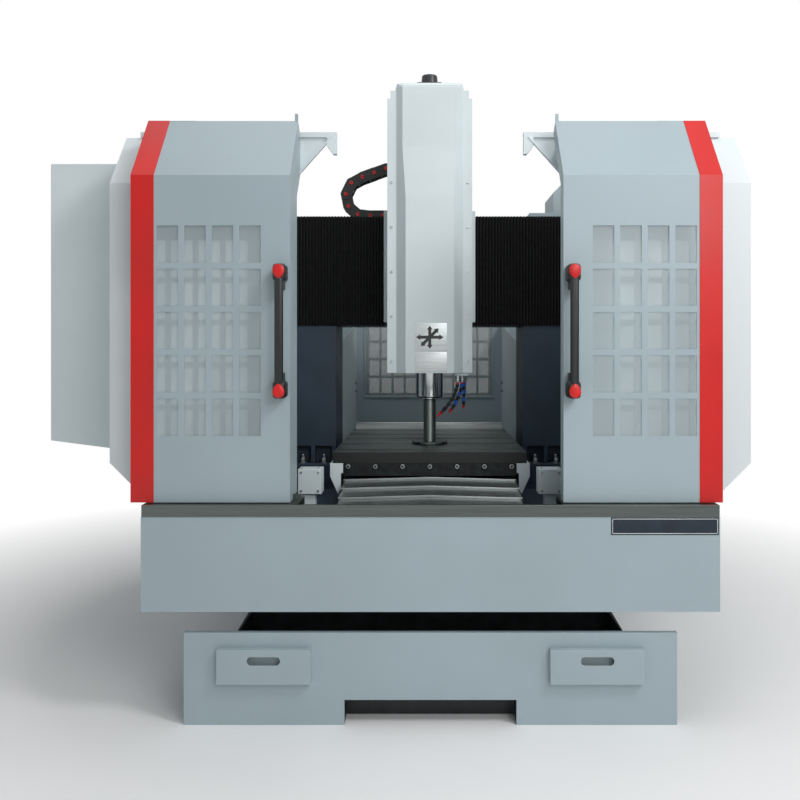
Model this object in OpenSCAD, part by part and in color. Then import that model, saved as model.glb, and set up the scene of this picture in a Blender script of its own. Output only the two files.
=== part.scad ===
// Moving-table gantry milling machine in an open-topped sheet-metal enclosure, in millimetres.
// Working frame: X = 0 on the centre line, Y = 0 on the door fronts and Z = 0 on the floor.
// X runs across the machine, Y to its back and Z up. place() puts the origin under its middle.

/* [Table] */
// Table size across the machine
table_w = 800; // [790:1:806]
// Table size front to back
table_l = 1000; // [980:5:1020]
// Height of the table top over the floor
table_top = 885; // [880:1:890]
// Thickness of the table plate
table_t = 45; // [42:1:48]
// Front edge of the table behind the door fronts
table_front = 511; // [506:1:516]
// Number of T-slots
slot_count = 5; // [3:1:6]
// Width of a T-slot
slot_w = 18; // [14:1:22]

/* [Gantry] */
// Clearance between the table and a column
column_clear = 50; // [45:1:55]
// Width of a column
column_w = 250; // [230:5:270]
// Front face of the columns
column_front = 1065; // [1060:1:1070]
// Underside of the crossbeam
beam_z = 1423; // [1418:1:1428]
// Height of the crossbeam
beam_h = 527; // [523:1:530]
// Length of the crossbeam
beam_l = 1600; // [1590:2:1620]
// Half width of the saddle plate on the beam
saddle_half = 215; // [212:1:218]

/* [Spindle head] */
// Spindle axis behind the door fronts
spindle_y = 830; // [828:1:831]
// Diameter of the spindle nose
nose_d = 120; // [110:1:124]
// Lower face of the spindle nose
nose_z = 1098; // [1090:1:1104]
// Lower edge of the head cover
cover_z = 1206; // [1204:1:1208]
// Top of the head cover
cover_top = 2478; // [2470:1:2486]
// Diameter of the face cutter
cutter_d = 160; // [120:5:170]

/* [Enclosure] */
// Thickness of the sheet panels
sheet_t = 3; // [2:0.5:4]
// Half width of the enclosure
shell_half = 1172; // [1165:1:1180]
// Back of the enclosure
shell_back = 2240; // [2235:1:2260]
// Height of the crease below the slanted tops
crease_z = 1918; // [1910:1:1926]
// Top of the slanted doors
door_top = 2157; // [2156:1:2160]
// Width of a sliding door
door_w = 554; // [548:1:556]
// Outer edge of the open left door, in from the side of the enclosure
left_inset = 128; // [124:1:133]
// Outer edge of the open right door, in from the side of the enclosure
right_inset = 154; // [150:1:158]
// Width of a door window
pane_w = 75; // [70:1:76]
// Height of a door window
pane_h = 130; // [120:1:132]
// Bar between door windows
pane_bar = 21; // [18:1:22]

/* [Tank and cabinet] */
// Width of the coolant tank's front
tank_w = 1722; // [1700:2:1740]
// Height of the coolant tank
tank_h = 322; // [310:1:330]
// Width of the electrical cabinet
cabinet_w = 387; // [370:1:400]
// Top of the electrical cabinet
cabinet_top = 2071; // [2060:1:2085]

/* [Hidden] */
$fn = 48;
// Linear guides, one size for every axis: the seat of the rail is at zero
rail_w = 30;
rail_h = 26;
block_w = 80;
block_l = 110;
block_lift = 6;
guide_h = 42;
slide_gap = 0.6;
// Fits: radial running clearance, seat of a fixed round part and gap between bodies
run_fit = 0.06;
seat_fit = 0.05;
body_gap = 0.3;
// Ball screws
screw_r = 20;
journal_r = 15;
nut_r = 32;
z_screw_r = 16;
z_journal_r = 12;
z_nut_r = 28;
motor_w = 130;
z_motor_w = 112;
// Bed
foot_h = 90;
table_bottom = table_top - table_t;
bed_top = table_bottom - 200;
bed_front = 260;
bed_back = shell_back - 240;
column_in = table_w / 2 + column_clear;
column_out = column_in + column_w;
bed_half = column_out - 63;
bed_foot_half = bed_half + 163;
bed_ledge_half = bed_half + 18;
bed_groove_half = 90;
bed_groove_z = bed_top - 50;
plate_half = table_w / 2 - 45;
nose_half = plate_half + 5;
nose_front = 40;
floor_z = 407;
shoulder_z = 762;
shoulder_lap = 30;
// Y axis
y_screw_z = bed_top + 8;
y_rail_x = plate_half - 105;
y_rail_from = 290;
y_rail_to = bed_back - 40;
table_back = table_front + table_l;
saddle_y0 = table_front + table_l / 2 - 200;
saddle_y1 = table_front + table_l / 2 + 200;
y_block_y = [saddle_y0 + 65, saddle_y1 - 65];
y_bearing_y = [y_rail_from + 15, bed_back - 120];
bearing_l = 50;
tank_d = bed_front - body_gap;
// Coolant tank: the tub is narrower than its front, and both are cut away over the toe space
tub_half = tank_w / 2 - 185;
toe_half = 300;
toe_h = 87;
toe_d = 85;
// Telescopic way covers: plate 0 rides on the table and plate 3 is fixed to the bed
plate_t = 2.5;
plate_drop = 8;
plate_step = 6;
plate_top = table_bottom - 65;
plate_roof = 10;
plate_skirt_z = table_bottom - 140;
plate_l = 285;
lip_t = 4;
front_edge = [for (i = [0:3]) table_front - 13 - i * (table_front - 29) / 3];
rear_edge = [for (i = [0:3]) table_back + 13 + i * (bed_back - 53 - table_back) / 3];
// Gantry
column_back = column_front + 303;
beam_top = beam_z + beam_h;
beam_front = column_front + 40;
beam_back = column_front + 335;
beam_half = beam_l / 2;
beam_wall = 40;
groove_h = 200;
groove_d = 80;
x_screw_z = beam_z + beam_h / 2;
x_screw_y = beam_front + 40;
x_rail_z = [beam_z + 67, beam_top - 70];
x_rail_half = 755;
x_bearing_x = 700;
// Saddle
saddle_back = beam_front - guide_h;
saddle_front = saddle_back - 88;
saddle_z0 = beam_z + 14;
saddle_z1 = beam_top + 9;
saddle_lip_back = beam_front - rail_h - 3;
x_block_x = saddle_half - 70;
// Z axis
ram_back = saddle_front - guide_h;
ram_front = ram_back - 196;
ram_half = 170;
ram_wall = 30;
ram_z0 = cover_z + 24;
ram_z1 = cover_top - 65;
clamp_top = ram_z0 + 410;
z_rail_x = 130;
z_screw_y = saddle_front - 3;
z_block_z = [saddle_z0 + 165, saddle_z1 - 65];
z_nut_z = saddle_z1 - 110;
z_motor_h = 177;
housing_r = 75;
shaft_r = 30;
arbor_r = 27.5;
cutter_t = 9;
cutter_z = table_top + 2;
// Enclosure
fixed_y = 135;
fixed_top_y = fixed_y + 167;
fixed_top_z = door_top - 31;
left_open = shell_half - left_inset - door_w;
right_open = shell_half - right_inset - door_w;
fixed_in = left_open + 12;
fixed_bend = atan((fixed_top_y - fixed_y) / (fixed_top_z - crease_z));
corner_z = 895;
waist_half = shell_half - 175;
waist_front = -30;
waist_z0 = floor_z - sheet_t;
sill_z0 = 732;
sill_top = 773;
door_z0 = sill_top + 3;
door_return = 60;
door_top_y = 179;
door_bend = atan(door_top_y / (door_top - crease_z));
pane_cols = 4;
pane_rows = 5;
pane_x0 = 102;
pane_z0 = 1008;
rail_bar_h = 20;
rail_bar_d = 25;
rail_bar_y = fixed_top_y - 12;
rail_bar_in = fixed_in - 142;
rail_bar_out = shell_half - 57;
hang_x0 = 380;
hang_x1 = 530;
handle_x = 27;
handle_z0 = 1144;
handle_z1 = 1601;
handle_off = 65;
handle_w = 30;
handle_d = 22;
cap_l = 50;
// Electrical cabinet on the left side
cabinet_x0 = -shell_half - cabinet_w;
cabinet_x1 = -shell_half;
cabinet_y0 = 500;
cabinet_y1 = 1500;
cabinet_z_out = 935;
cabinet_z_in = 885;
hinge_r = 8;
hinge_pin_r = 4;
hinge_x = cabinet_x0 - hinge_r;
hinge_y = cabinet_y1 + hinge_r;
hinge_z = [1100, 1850];
hinge_l = 60;
// Middle of the overall box, which place() moves to the origin
overall_x0 = hinge_x - hinge_r;
overall_y0 = -handle_off - handle_d / 2;
overall_y1 = shell_back + sheet_t;
mid_x = (overall_x0 + shell_half) / 2;
mid_y = (overall_y0 + overall_y1) / 2;
// Finishes
grey_paint = "#b4c0c3";
white_paint = "#e3e9eb";
navy_paint = "#2f3e4f";
steel = "#8c9193";
dark_steel = "#5a605c";
black = "#15181a";

// Shared shapes

module place() {
  translate([-mid_x, -mid_y, 0]) children();
}

// Box between two opposite corners
module box(a, b) {
  translate(a) cube(b - a);
}

module both_sides() {
  children();
  mirror([1, 0, 0]) children();
}

// Extrudes an X-Z outline from y0 to y1
module along_y(y0, y1) {
  translate([0, y1, 0]) rotate([90, 0, 0]) linear_extrude(y1 - y0) children();
}

// Extrudes a Y-Z outline from x0 to x1
module along_x(x0, x1) {
  translate([x0, 0, 0]) rotate([90, 0, 90]) linear_extrude(x1 - x0) children();
}

module cyl_x(r, x0, x1) {
  translate([x0, 0, 0]) rotate([0, 90, 0]) cylinder(r = r, h = x1 - x0);
}

module cyl_y(r, y0, y1) {
  translate([0, y1, 0]) rotate([90, 0, 0]) cylinder(r = r, h = y1 - y0);
}

// Turns a guide that runs along X with its back down to one that runs along Z with its back to -Y
module upright_guide() {
  rotate([90, 0, 90]) rotate([90, 0, 90]) children();
}

// Linear rail along X, seated at z = 0, with the waist that its block grips
module guide_rail(l) {
  waist = 4;
  half = rail_w / 2;
  along_x(-l / 2, l / 2)
    polygon([[-half, 0], [half, 0], [half, 9], [half - waist, 13], [half - waist, 18], [half, 22],
             [half, rail_h], [-half, rail_h], [-half, 22], [waist - half, 18], [waist - half, 13],
             [-half, 9]]);
}

module guide_block() {
  difference() {
    translate([-block_l / 2, -block_w / 2, block_lift]) cube([block_l, block_w, guide_h - block_lift]);
    translate([-block_l, -rail_w / 2 - slide_gap, 0])
      cube([2 * block_l, rail_w + 2 * slide_gap, rail_h + slide_gap]);
  }
}

// Motor along +Z with its flange at z = 0
module servo_motor(w, h) {
  flange_t = 12;
  cap_h = h * 0.25;
  union() {
    translate([-w / 2, -w / 2, 0]) cube([w, w, flange_t]);
    translate([-w * 0.45, -w * 0.45, 0]) cube([w * 0.9, w * 0.9, h - cap_h - flange_t]);
    translate([-w / 2, -w / 2, h - cap_h - flange_t]) cube([w, w, flange_t]);
    translate([0, 0, h - cap_h]) cylinder(r1 = w * 0.36, r2 = w * 0.32, h = cap_h);
  }
}

// Folded sheet in Y-Z: upright to the crease and then leaning back by the bend
function lean_sheet(y, z0, zc, run, zt, a, d) = [
  [y, z0], [y, zc], [y + run, zt], [y + run + d * cos(a), zt - d * sin(a)],
  [y + d, zc - d * tan(a / 2)], [y + d, z0]];

// Bed, columns and beam

module base_casting() {
  slope_z = foot_h + 38;
  slope_top = slope_z + (bed_foot_half - bed_ledge_half) / 0.6;
  color(navy_paint) difference() {
    union() {
      along_y(bed_front, bed_back)
        polygon([[-bed_foot_half, foot_h], [bed_foot_half, foot_h], [bed_foot_half, slope_z],
                 [bed_ledge_half, slope_top], [bed_ledge_half, floor_z], [bed_half, floor_z],
                 [bed_half, bed_top], [-bed_half, bed_top], [-bed_half, floor_z],
                 [-bed_ledge_half, floor_z], [-bed_ledge_half, slope_top], [-bed_foot_half, slope_z]]);
      box([-nose_half, nose_front, bed_top - 100], [nose_half, bed_front + 1, bed_top]);
      both_sides()
        box([column_in - 10, column_front - shoulder_lap, floor_z],
            [column_out + 20, column_back + shoulder_lap, shoulder_z]);
    }
    box([-bed_groove_half, y_rail_from, bed_groove_z], [bed_groove_half, bed_back + 1, bed_top + 1]);
  }
}

module levelling_feet() {
  pad_r = 60;
  pad_h = 25;
  stud_r = 15;
  rows = 4;
  pitch = (bed_back - bed_front - 2 * pad_r) / (rows - 1);
  color(dark_steel) both_sides()
    for (i = [0:rows - 1])
      translate([bed_foot_half - pad_r, bed_front + pad_r + i * pitch, 0])
        union() {
          cylinder(r = pad_r, h = pad_h);
          cylinder(r = stud_r, h = foot_h);
        }
}

module columns() {
  pocket_w = 80;
  pocket_h = 81;
  pocket_d = 45;
  rib = 20;
  wall = 40;
  color(navy_paint) both_sides() difference() {
    box([column_in, column_front, shoulder_z], [column_out, column_back, beam_z]);
    for (i = [0:1])
      translate([column_in + rib + i * (pocket_w + rib), column_front - 1, shoulder_z - 1])
        cube([pocket_w, pocket_d + 1, pocket_h + 1]);
    box([column_in + wall, column_back - 130, shoulder_z + 2 * wall],
        [column_out - wall, column_back + 1, beam_z - wall]);
  }
}

module crossbeam() {
  cells = 4;
  rib = 30;
  cell_w = (beam_l - (cells + 1) * rib) / cells;
  color(navy_paint) difference() {
    box([-beam_half, beam_front, beam_z], [beam_half, beam_back, beam_top]);
    box([-beam_half - 1, beam_front - 1, x_screw_z - groove_h / 2],
        [beam_half + 1, beam_front + groove_d, x_screw_z + groove_h / 2]);
    for (i = [0:cells - 1])
      translate([-beam_half + rib + i * (cell_w + rib), 0, 0])
        box([0, beam_front + groove_d + beam_wall, beam_z + beam_wall],
            [cell_w, beam_back + 1, beam_top - beam_wall]);
  }
}

module linear_rails() {
  color(steel) {
    for (z = x_rail_z)
      translate([0, beam_front, z]) rotate([90, 0, 0]) guide_rail(2 * x_rail_half);
    for (x = [-y_rail_x, y_rail_x])
      translate([x, (y_rail_from + y_rail_to) / 2, bed_top]) rotate([0, 0, 90])
        guide_rail(y_rail_to - y_rail_from);
  }
}

module bearing_blocks() {
  half = 45;
  color(dark_steel) {
    both_sides() difference() {
      box([x_bearing_x, beam_front + 4, x_screw_z - half],
          [x_bearing_x + bearing_l, beam_front + groove_d, x_screw_z + half]);
      translate([x_bearing_x - 1, x_screw_y, x_screw_z]) cyl_x(journal_r + run_fit, 0, bearing_l + 2);
    }
    for (y = y_bearing_y)
      difference() {
        box([-half, y, bed_groove_z], [half, y + bearing_l, y_screw_z + half]);
        translate([0, y - 1, y_screw_z]) cyl_y(journal_r + run_fit, 0, bearing_l + 2);
      }
  }
}

module axis_motors() {
  l = 180;
  color(black) {
    translate([beam_half, x_screw_y, x_screw_z]) rotate([0, 90, 0]) servo_motor(motor_w, l);
    translate([0, bed_back, y_screw_z]) rotate([-90, 0, 0]) servo_motor(motor_w, l);
  }
}

module x_screw() {
  end = x_bearing_x - 10;
  color(steel) translate([0, x_screw_y, x_screw_z]) union() {
    cyl_x(screw_r, -end, end);
    cyl_x(journal_r, -x_bearing_x - bearing_l, beam_half - 5);
  }
}

module y_screw() {
  color(steel) translate([0, 0, y_screw_z]) union() {
    cyl_y(screw_r, y_bearing_y[0] + bearing_l + 5, y_bearing_y[1] - 5);
    cyl_y(journal_r, y_bearing_y[0], bed_back - 5);
  }
}

module beam_end_cover() {
  x1 = beam_half - 10;
  x0 = x1 - 187;
  cut = 50;
  top = beam_top + 172;
  tray_x = x0 - 115;
  tray_z = beam_top + 24;
  color(grey_paint) difference() {
    along_y(beam_front + 10, beam_back - 10)
      polygon([[tray_x, beam_top], [x1, beam_top], [x1, top], [x0 + cut, top], [x0, top - cut],
               [x0, tray_z], [tray_x, tray_z]]);
    along_y(beam_front + 10 + sheet_t, beam_back - 10 - sheet_t)
      polygon([[tray_x + sheet_t, beam_top - 1], [x1 - sheet_t, beam_top - 1], [x1 - sheet_t, top - sheet_t],
               [x0 + cut + sheet_t * 0.41, top - sheet_t], [x0 + sheet_t, top - cut - sheet_t * 0.41],
               [x0 + sheet_t, tray_z - sheet_t], [tray_x + sheet_t, tray_z - sheet_t]]);
  }
}

// Bellows fold in X-Y between the saddle and an end plate that stands on the beam
module bellows() {
  folds = 37;
  x0 = saddle_half;
  x1 = x_rail_half + 11;
  half_pitch = (x1 - x0) / (2 * folds);
  y_front = saddle_lip_back - 26;
  depth = 20;
  cloth = 3;
  zig = [for (i = [0:2 * folds]) [x0 + i * half_pitch, y_front + (i % 2) * depth]];
  zag = [for (i = [2 * folds:-1:0]) [x0 + i * half_pitch, y_front + (i % 2) * depth + cloth]];
  color(black) both_sides() union() {
    translate([0, 0, beam_z]) linear_extrude(beam_h - 2) polygon(concat(zig, zag));
    box([x1 - 1, y_front, beam_z], [x1 + 6, beam_front, beam_top - 2]);
  }
}

// Drag chain: a straight run on the beam, a bend and a straight run that climbs to the bracket
chain_pitch = 63;
chain_r = 96;
chain_lift = 20;
chain_y = beam_front + 145;
chain_bend_x = -322;
chain_run = 341;
chain_side = 27;
chain_z = beam_top + chain_side;
chain_links = 12;
chain_arc = chain_r * (180 - chain_lift) * PI / 180;
function chain_turn(s) = min(max((s - chain_run) / chain_r * 180 / PI, 0), 180 - chain_lift);
function chain_at(s) =
  let (a = chain_turn(s), over = max(s - chain_run - chain_arc, 0))
    [chain_bend_x + max(chain_run - s, 0) - chain_r * sin(a) + over * cos(chain_lift),
     chain_z + chain_r * (1 - cos(a)) + over * sin(chain_lift)];

module chain_link(l, outer) {
  plate_t = 4;
  y_out = outer ? 37.5 : 33;
  bar = 8;
  union() {
    for (side = [-1, 1])
      translate([0, side * (y_out - plate_t / 2) + plate_t / 2, 0]) rotate([90, 0, 0])
        linear_extrude(plate_t) union() {
          circle(r = chain_side - 0.5);
          translate([l, 0]) circle(r = chain_side - 0.5);
          translate([0, 0.5 - chain_side]) square([l, 2 * chain_side - 1]);
        }
    for (z = [-chain_side + 3, chain_side - 8])
      translate([(l - bar) / 2, 1 - y_out, z]) cube([bar, 2 * y_out - 2, 5]);
  }
}

module drag_chain() {
  color(black) for (i = [0:chain_links - 1]) {
    a = chain_at(i * chain_pitch);
    b = chain_at((i + 1) * chain_pitch);
    translate([a[0], chain_y, a[1]]) rotate([0, -atan2(b[1] - a[1], b[0] - a[0]), 0])
      chain_link(norm(b - a), i % 2 == 0);
  }
}

// Saddle on the beam

module saddle() {
  groove_half = 60;
  lip = 12;
  color(white_paint) difference() {
    union() {
      box([-saddle_half, saddle_front, saddle_z0], [saddle_half, saddle_back, saddle_z1]);
      both_sides()
        box([saddle_half - lip, saddle_back - 1, saddle_z0], [saddle_half, saddle_lip_back, saddle_z1]);
    }
    box([-groove_half, saddle_front - 1, saddle_z0 - 1], [groove_half, saddle_front + 55, saddle_z1 + 1]);
  }
}

module guide_blocks() {
  color(dark_steel) {
    for (x = [-x_block_x, x_block_x], z = x_rail_z)
      translate([x, beam_front, z]) rotate([90, 0, 0]) guide_block();
    for (x = [-z_rail_x, z_rail_x], z = z_block_z)
      translate([x, ram_back, z]) upright_guide() guide_block();
  }
}

module saddle_nuts() {
  x_half = 60;
  z_len = 100;
  color(steel) {
    difference() {
      union() {
        translate([0, x_screw_y, x_screw_z]) cyl_x(nut_r, -x_half, x_half);
        box([-x_half + 10, saddle_back, x_screw_z - nut_r + 4],
            [x_half - 10, x_screw_y, x_screw_z + nut_r - 4]);
      }
      translate([0, x_screw_y, x_screw_z]) cyl_x(screw_r + run_fit, -x_half - 1, x_half + 1);
    }
    difference() {
      union() {
        translate([0, z_screw_y, z_nut_z]) cylinder(r = z_nut_r, h = z_len);
        box([-z_nut_r, z_screw_y, z_nut_z + 10], [z_nut_r, saddle_front + 55, z_nut_z + z_len - 10]);
      }
      translate([0, z_screw_y, z_nut_z - 1]) cylinder(r = z_screw_r + run_fit, h = z_len + 2);
    }
  }
}

// Sheet arm that carries the moving end of the drag chain
module chain_bracket() {
  arm_z0 = chain_z + 170;
  arm_z1 = arm_z0 + 90;
  x0 = chain_at(chain_links * chain_pitch)[0] + chain_side;
  color(white_paint) union() {
    box([x0, saddle_front + 10, saddle_z1], [x0 + 60, saddle_back - 8, saddle_z1 + sheet_t]);
    box([x0, saddle_front + 10, saddle_z1], [x0 + 6, saddle_back - 8, arm_z1]);
    box([x0, saddle_front + 10, arm_z0], [x0 + 6, chain_y + 40, arm_z1]);
  }
}

// Spindle head

module ram() {
  bracket_half = 58;
  bracket_back = z_screw_y + z_motor_w / 2;
  bracket_h = 110;
  color(white_paint) difference() {
    union() {
      box([-ram_half, ram_front, ram_z0], [ram_half, ram_back, ram_z1]);
      box([-bracket_half, ram_back - 1, ram_z1 - bracket_h], [bracket_half, bracket_back, ram_z1]);
    }
    box([ram_wall - ram_half, ram_front - 1, clamp_top],
        [ram_half - ram_wall, ram_back - ram_wall, ram_z1 - ram_wall]);
    translate([0, spindle_y, ram_z0 - 1]) cylinder(r = housing_r, h = clamp_top - ram_z0 + 2);
    translate([0, z_screw_y, ram_z1 - bracket_h - 1]) cylinder(r = z_journal_r + run_fit, h = bracket_h + 2);
  }
}

module z_rails() {
  end_gap = 10;
  l = ram_z1 - ram_z0 - 2 * end_gap;
  color(steel)
    for (x = [-z_rail_x, z_rail_x])
      translate([x, ram_back, (ram_z0 + ram_z1) / 2]) upright_guide() guide_rail(l);
}

module z_motor() {
  color(black) translate([0, z_screw_y, ram_z1]) servo_motor(z_motor_w, z_motor_h);
}

module z_screw() {
  top = ram_z1 - 112;
  color(steel) translate([0, z_screw_y, 0]) union() {
    translate([0, 0, saddle_z0]) cylinder(r = z_screw_r, h = top - saddle_z0);
    translate([0, 0, top - 1]) cylinder(r = z_journal_r, h = ram_z1 - 6 - top);
  }
}

module spindle_housing() {
  flange_r = 90;
  flange_t = 16;
  color("silver") translate([0, spindle_y, 0]) difference() {
    union() {
      translate([0, 0, nose_z]) cylinder(d = nose_d, h = ram_z0 - nose_z);
      translate([0, 0, ram_z0 - flange_t]) cylinder(r = flange_r, h = flange_t);
      translate([0, 0, ram_z0]) cylinder(r = housing_r - seat_fit, h = clamp_top - ram_z0);
    }
    translate([0, 0, nose_z - 1]) cylinder(r = shaft_r + run_fit, h = clamp_top - nose_z + 2);
  }
}

module spindle_motor() {
  half = 73;
  h = 320;
  color(black) translate([0, spindle_y, clamp_top]) union() {
    translate([-half, -half, 0]) cube([2 * half, 2 * half, h * 0.7]);
    translate([0, 0, h * 0.7]) cylinder(r = half - 6, h = h * 0.3);
  }
}

module spindle_shaft() {
  face_r = 40;
  face_t = 10;
  color("silver") translate([0, spindle_y, 0]) union() {
    translate([0, 0, nose_z - body_gap - face_t]) cylinder(r = face_r, h = face_t);
    translate([0, 0, nose_z - body_gap - 1]) cylinder(r = shaft_r, h = clamp_top - nose_z - 2);
  }
}

// Face cutter on its arbor, with a notch for each insert
module face_cutter() {
  notches = 8;
  arbor_top = nose_z - body_gap - 10;
  color(dark_steel) translate([0, spindle_y, 0]) difference() {
    union() {
      translate([0, 0, cutter_z]) cylinder(d = cutter_d, h = cutter_t);
      translate([0, 0, cutter_z + 1]) cylinder(r = arbor_r, h = arbor_top - cutter_z - 1);
    }
    for (i = [0:notches - 1])
      rotate([0, 0, i * 360 / notches])
        translate([cutter_d / 2 - 12, 0, cutter_z - 1]) cube([20, 14, cutter_t + 2]);
  }
}

// Outline of the head cover in X-Y: flanges on the ram, 45 degree chamfers and a flat front
cover_flange = 187;
cover_foot = 150;
cover_low = 105;
cover_high = 119;
cover_band = [cover_top - 501, cover_top - 286, cover_top - 22];
function cover_y(half) = ram_front - (cover_foot - half);
function cover_outline(half, y, d) = [
  [-cover_foot + d * 0.41, y], [-half + d * 0.41, cover_y(half) + d], [half - d * 0.41, cover_y(half) + d],
  [cover_foot - d * 0.41, y]];

module cover_solid(d, y, z0, z1) {
  rim = 0.5;
  translate([0, 0, z0]) linear_extrude(cover_band[0] - z0) polygon(cover_outline(cover_low, y, d));
  hull() {
    translate([0, 0, cover_band[0] - rim]) linear_extrude(rim) polygon(cover_outline(cover_low, y, d));
    translate([0, 0, cover_band[1]]) linear_extrude(rim) polygon(cover_outline(cover_high, y, d));
  }
  translate([0, 0, cover_band[1]]) linear_extrude(z1 - cover_band[1])
    polygon(cover_outline(cover_high, y, d));
}

module head_cover() {
  flange_top = ram_z1;
  ear_half = cover_flange - 14;
  ear_h = 35;
  hole_gap = 4;
  color(white_paint) difference() {
    union() {
      cover_solid(0, ram_front, cover_z, cover_band[2]);
      hull() {
        translate([0, 0, cover_band[2] - 0.5]) linear_extrude(0.5)
          polygon(cover_outline(cover_high, ram_front, 0));
        translate([0, 0, cover_top - 0.5]) linear_extrude(0.5)
          polygon(cover_outline(cover_high, ram_front, 15));
      }
      box([-cover_flange, ram_front - sheet_t, cover_z], [cover_flange, ram_front, flange_top]);
      box([-ear_half, ram_front - sheet_t, flange_top - 1], [ear_half, ram_front, flange_top + ear_h]);
      box([-cover_flange, ram_front, cover_z],
          [cover_flange, spindle_y + 95, cover_z + sheet_t]);
    }
    cover_solid(sheet_t, ram_front + 1, cover_z + sheet_t, cover_top - 16);
    translate([0, spindle_y, cover_z - 1]) cylinder(d = nose_d + 2 * hole_gap, h = sheet_t + 2);
  }
}

// Jointed hoses: a manifold under the cover and rows of cup-and-ball segments
module hose(points, r) {
  color(black) for (i = [0:len(points) - 2]) {
    d = points[i + 1] - points[i];
    l = norm(d);
    translate(points[i]) rotate([0, acos(d[2] / l), atan2(d[1], d[0])])
      union() {
        translate([0, 0, 1]) cylinder(r1 = r, r2 = r * 0.75, h = l * 0.6);
        translate([0, 0, l * 0.6]) cylinder(r = r * 0.6, h = l * 0.4);
      }
  }
}

// Route of a hose: out of the manifold, down and in towards the cutter
function hose_route(x, y, drop, reach, n) = [
  for (i = [0:n]) let (t = i / n) [x - reach * t * t, y, cover_z - 30 - drop * t]];

module coolant_hoses() {
  x = 140;
  y = spindle_y - 40;
  block_h = 14;
  stub_h = 16;
  stub_r = 11;
  hose_r = 9;
  segments = 6;
  union() {
    color(black) box([x - 30, y - 42, cover_z - block_h], [x + 30, y + 42, cover_z]);
    for (at = [[x - 15, y - 28], [x + 5, y], [x + 15, y + 28]])
      translate([at[0], at[1], cover_z - block_h - stub_h]) cylinder(r = stub_r, h = stub_h + 1);
    hose(hose_route(x - 15, y - 28, 164, 92, segments), hose_r);
    hose(hose_route(x + 5, y, 151, 60, segments), hose_r);
    hose(hose_route(x + 15, y + 28, 133, 3, segments), hose_r);
  }
}

// Table

module table() {
  slot_depth = 17;
  head_w = slot_w + 12;
  head_h = 12;
  pitch = table_l / slot_count;
  color(steel) difference() {
    box([-table_w / 2, table_front, table_bottom], [table_w / 2, table_back, table_top]);
    for (i = [0:slot_count - 1])
      translate([0, table_front + (i + 0.5) * pitch, table_top]) {
        box([-table_w, -slot_w / 2, -slot_depth], [table_w, slot_w / 2, 1]);
        box([-table_w, -head_w / 2, -slot_depth - head_h], [table_w, head_w / 2, -slot_depth]);
      }
  }
}

module table_saddle() {
  half = plate_half - 25;
  color(navy_paint)
    box([-half, saddle_y0, bed_top + guide_h], [half, saddle_y1, table_bottom]);
}

module y_blocks() {
  color(dark_steel)
    for (x = [-y_rail_x, y_rail_x], y = y_block_y)
      translate([x, y, bed_top]) rotate([0, 0, 90]) guide_block();
}

module y_nut() {
  half = 65;
  y = (saddle_y0 + saddle_y1) / 2;
  color(steel) translate([0, y, 0]) difference() {
    union() {
      translate([0, 0, y_screw_z]) cyl_y(nut_r, -half, half);
      box([-25, -half + 10, y_screw_z], [25, half - 10, bed_top + guide_h]);
    }
    translate([0, 0, y_screw_z]) cyl_y(screw_r + run_fit, -half - 1, half + 1);
  }
}

// Black plate under the front of the table, with its row of socket bolts
module table_flange() {
  bolts = 7;
  edge = 20;
  head_r = 9;
  half = plate_half + 1;
  pitch = 2 * (half - edge) / (bolts - 1);
  thick = 10;
  color(black) union() {
    box([-half, table_front, table_bottom - 52], [half, table_front + thick, table_bottom]);
    for (i = [0:bolts - 1])
      translate([(i - (bolts - 1) / 2) * pitch, table_front, table_bottom - 12]) difference() {
        cyl_y(head_r, -9, 1);
        cyl_y(head_r / 2, -10, -4);
      }
  }
}

// Sheet aprons that hang under the long edges of the table
module table_aprons() {
  in = plate_half + 3;
  out = table_w / 2 + 12;
  low = table_bottom - 54;
  color(white_paint) both_sides() union() {
    box([in, table_front, table_bottom - sheet_t], [out, table_back, table_bottom]);
    box([out - sheet_t, table_front, low], [out, table_back, table_bottom]);
    for (y = [table_front, table_back - sheet_t])
      along_y(y, y + sheet_t)
        polygon([[in, table_bottom], [out, table_bottom], [out, low], [out - 33, low - 74],
                 [out - 45, low - 53], [out - 45, low + 13], [in, low + 13]]);
  }
}

module table_bar() {
  depth = 22;
  half = table_w / 2 - 10;
  y = table_back - depth / 2;
  color("silver") translate([0, y, table_top]) union() {
    box([-half, -depth / 2, 0], [half, depth / 2, depth]);
    translate([0, 0, depth]) cyl_x(depth / 2, -half, half);
  }
}

// Plate i of a way cover: a low roof with two skirts, and a lip that wipes the next plate's roof
module way_plate(i, y0, y1, skirt_z) {
  half = plate_half - i * plate_step;
  z = plate_top - i * plate_drop;
  in = half - plate_t;
  color("silver") along_y(y0, y1)
    polygon([[-half, skirt_z], [-half, z], [0, z + plate_roof], [half, z], [half, skirt_z],
             [in, skirt_z], [in, z - plate_t], [0, z + plate_roof - plate_t], [-in, z - plate_t],
             [-in, skirt_z]]);
}

module wiper_lip(i, y0) {
  in = plate_half - i * plate_step - plate_t;
  z = plate_top - i * plate_drop - plate_t;
  low = plate_top - (i + 1) * plate_drop + body_gap;
  color("silver") along_y(y0, y0 + lip_t)
    polygon([[-in, z], [0, z + plate_roof], [in, z], [in, low], [0, low + plate_roof], [-in, low]]);
}

module front_plate(i, l) {
  union() {
    way_plate(i, front_edge[i], front_edge[i] + l, plate_skirt_z);
    wiper_lip(i, front_edge[i]);
  }
}

module rear_plate(i, l) {
  union() {
    way_plate(i, rear_edge[i] - l, rear_edge[i], plate_skirt_z);
    wiper_lip(i, rear_edge[i] - lip_t);
  }
}

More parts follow.
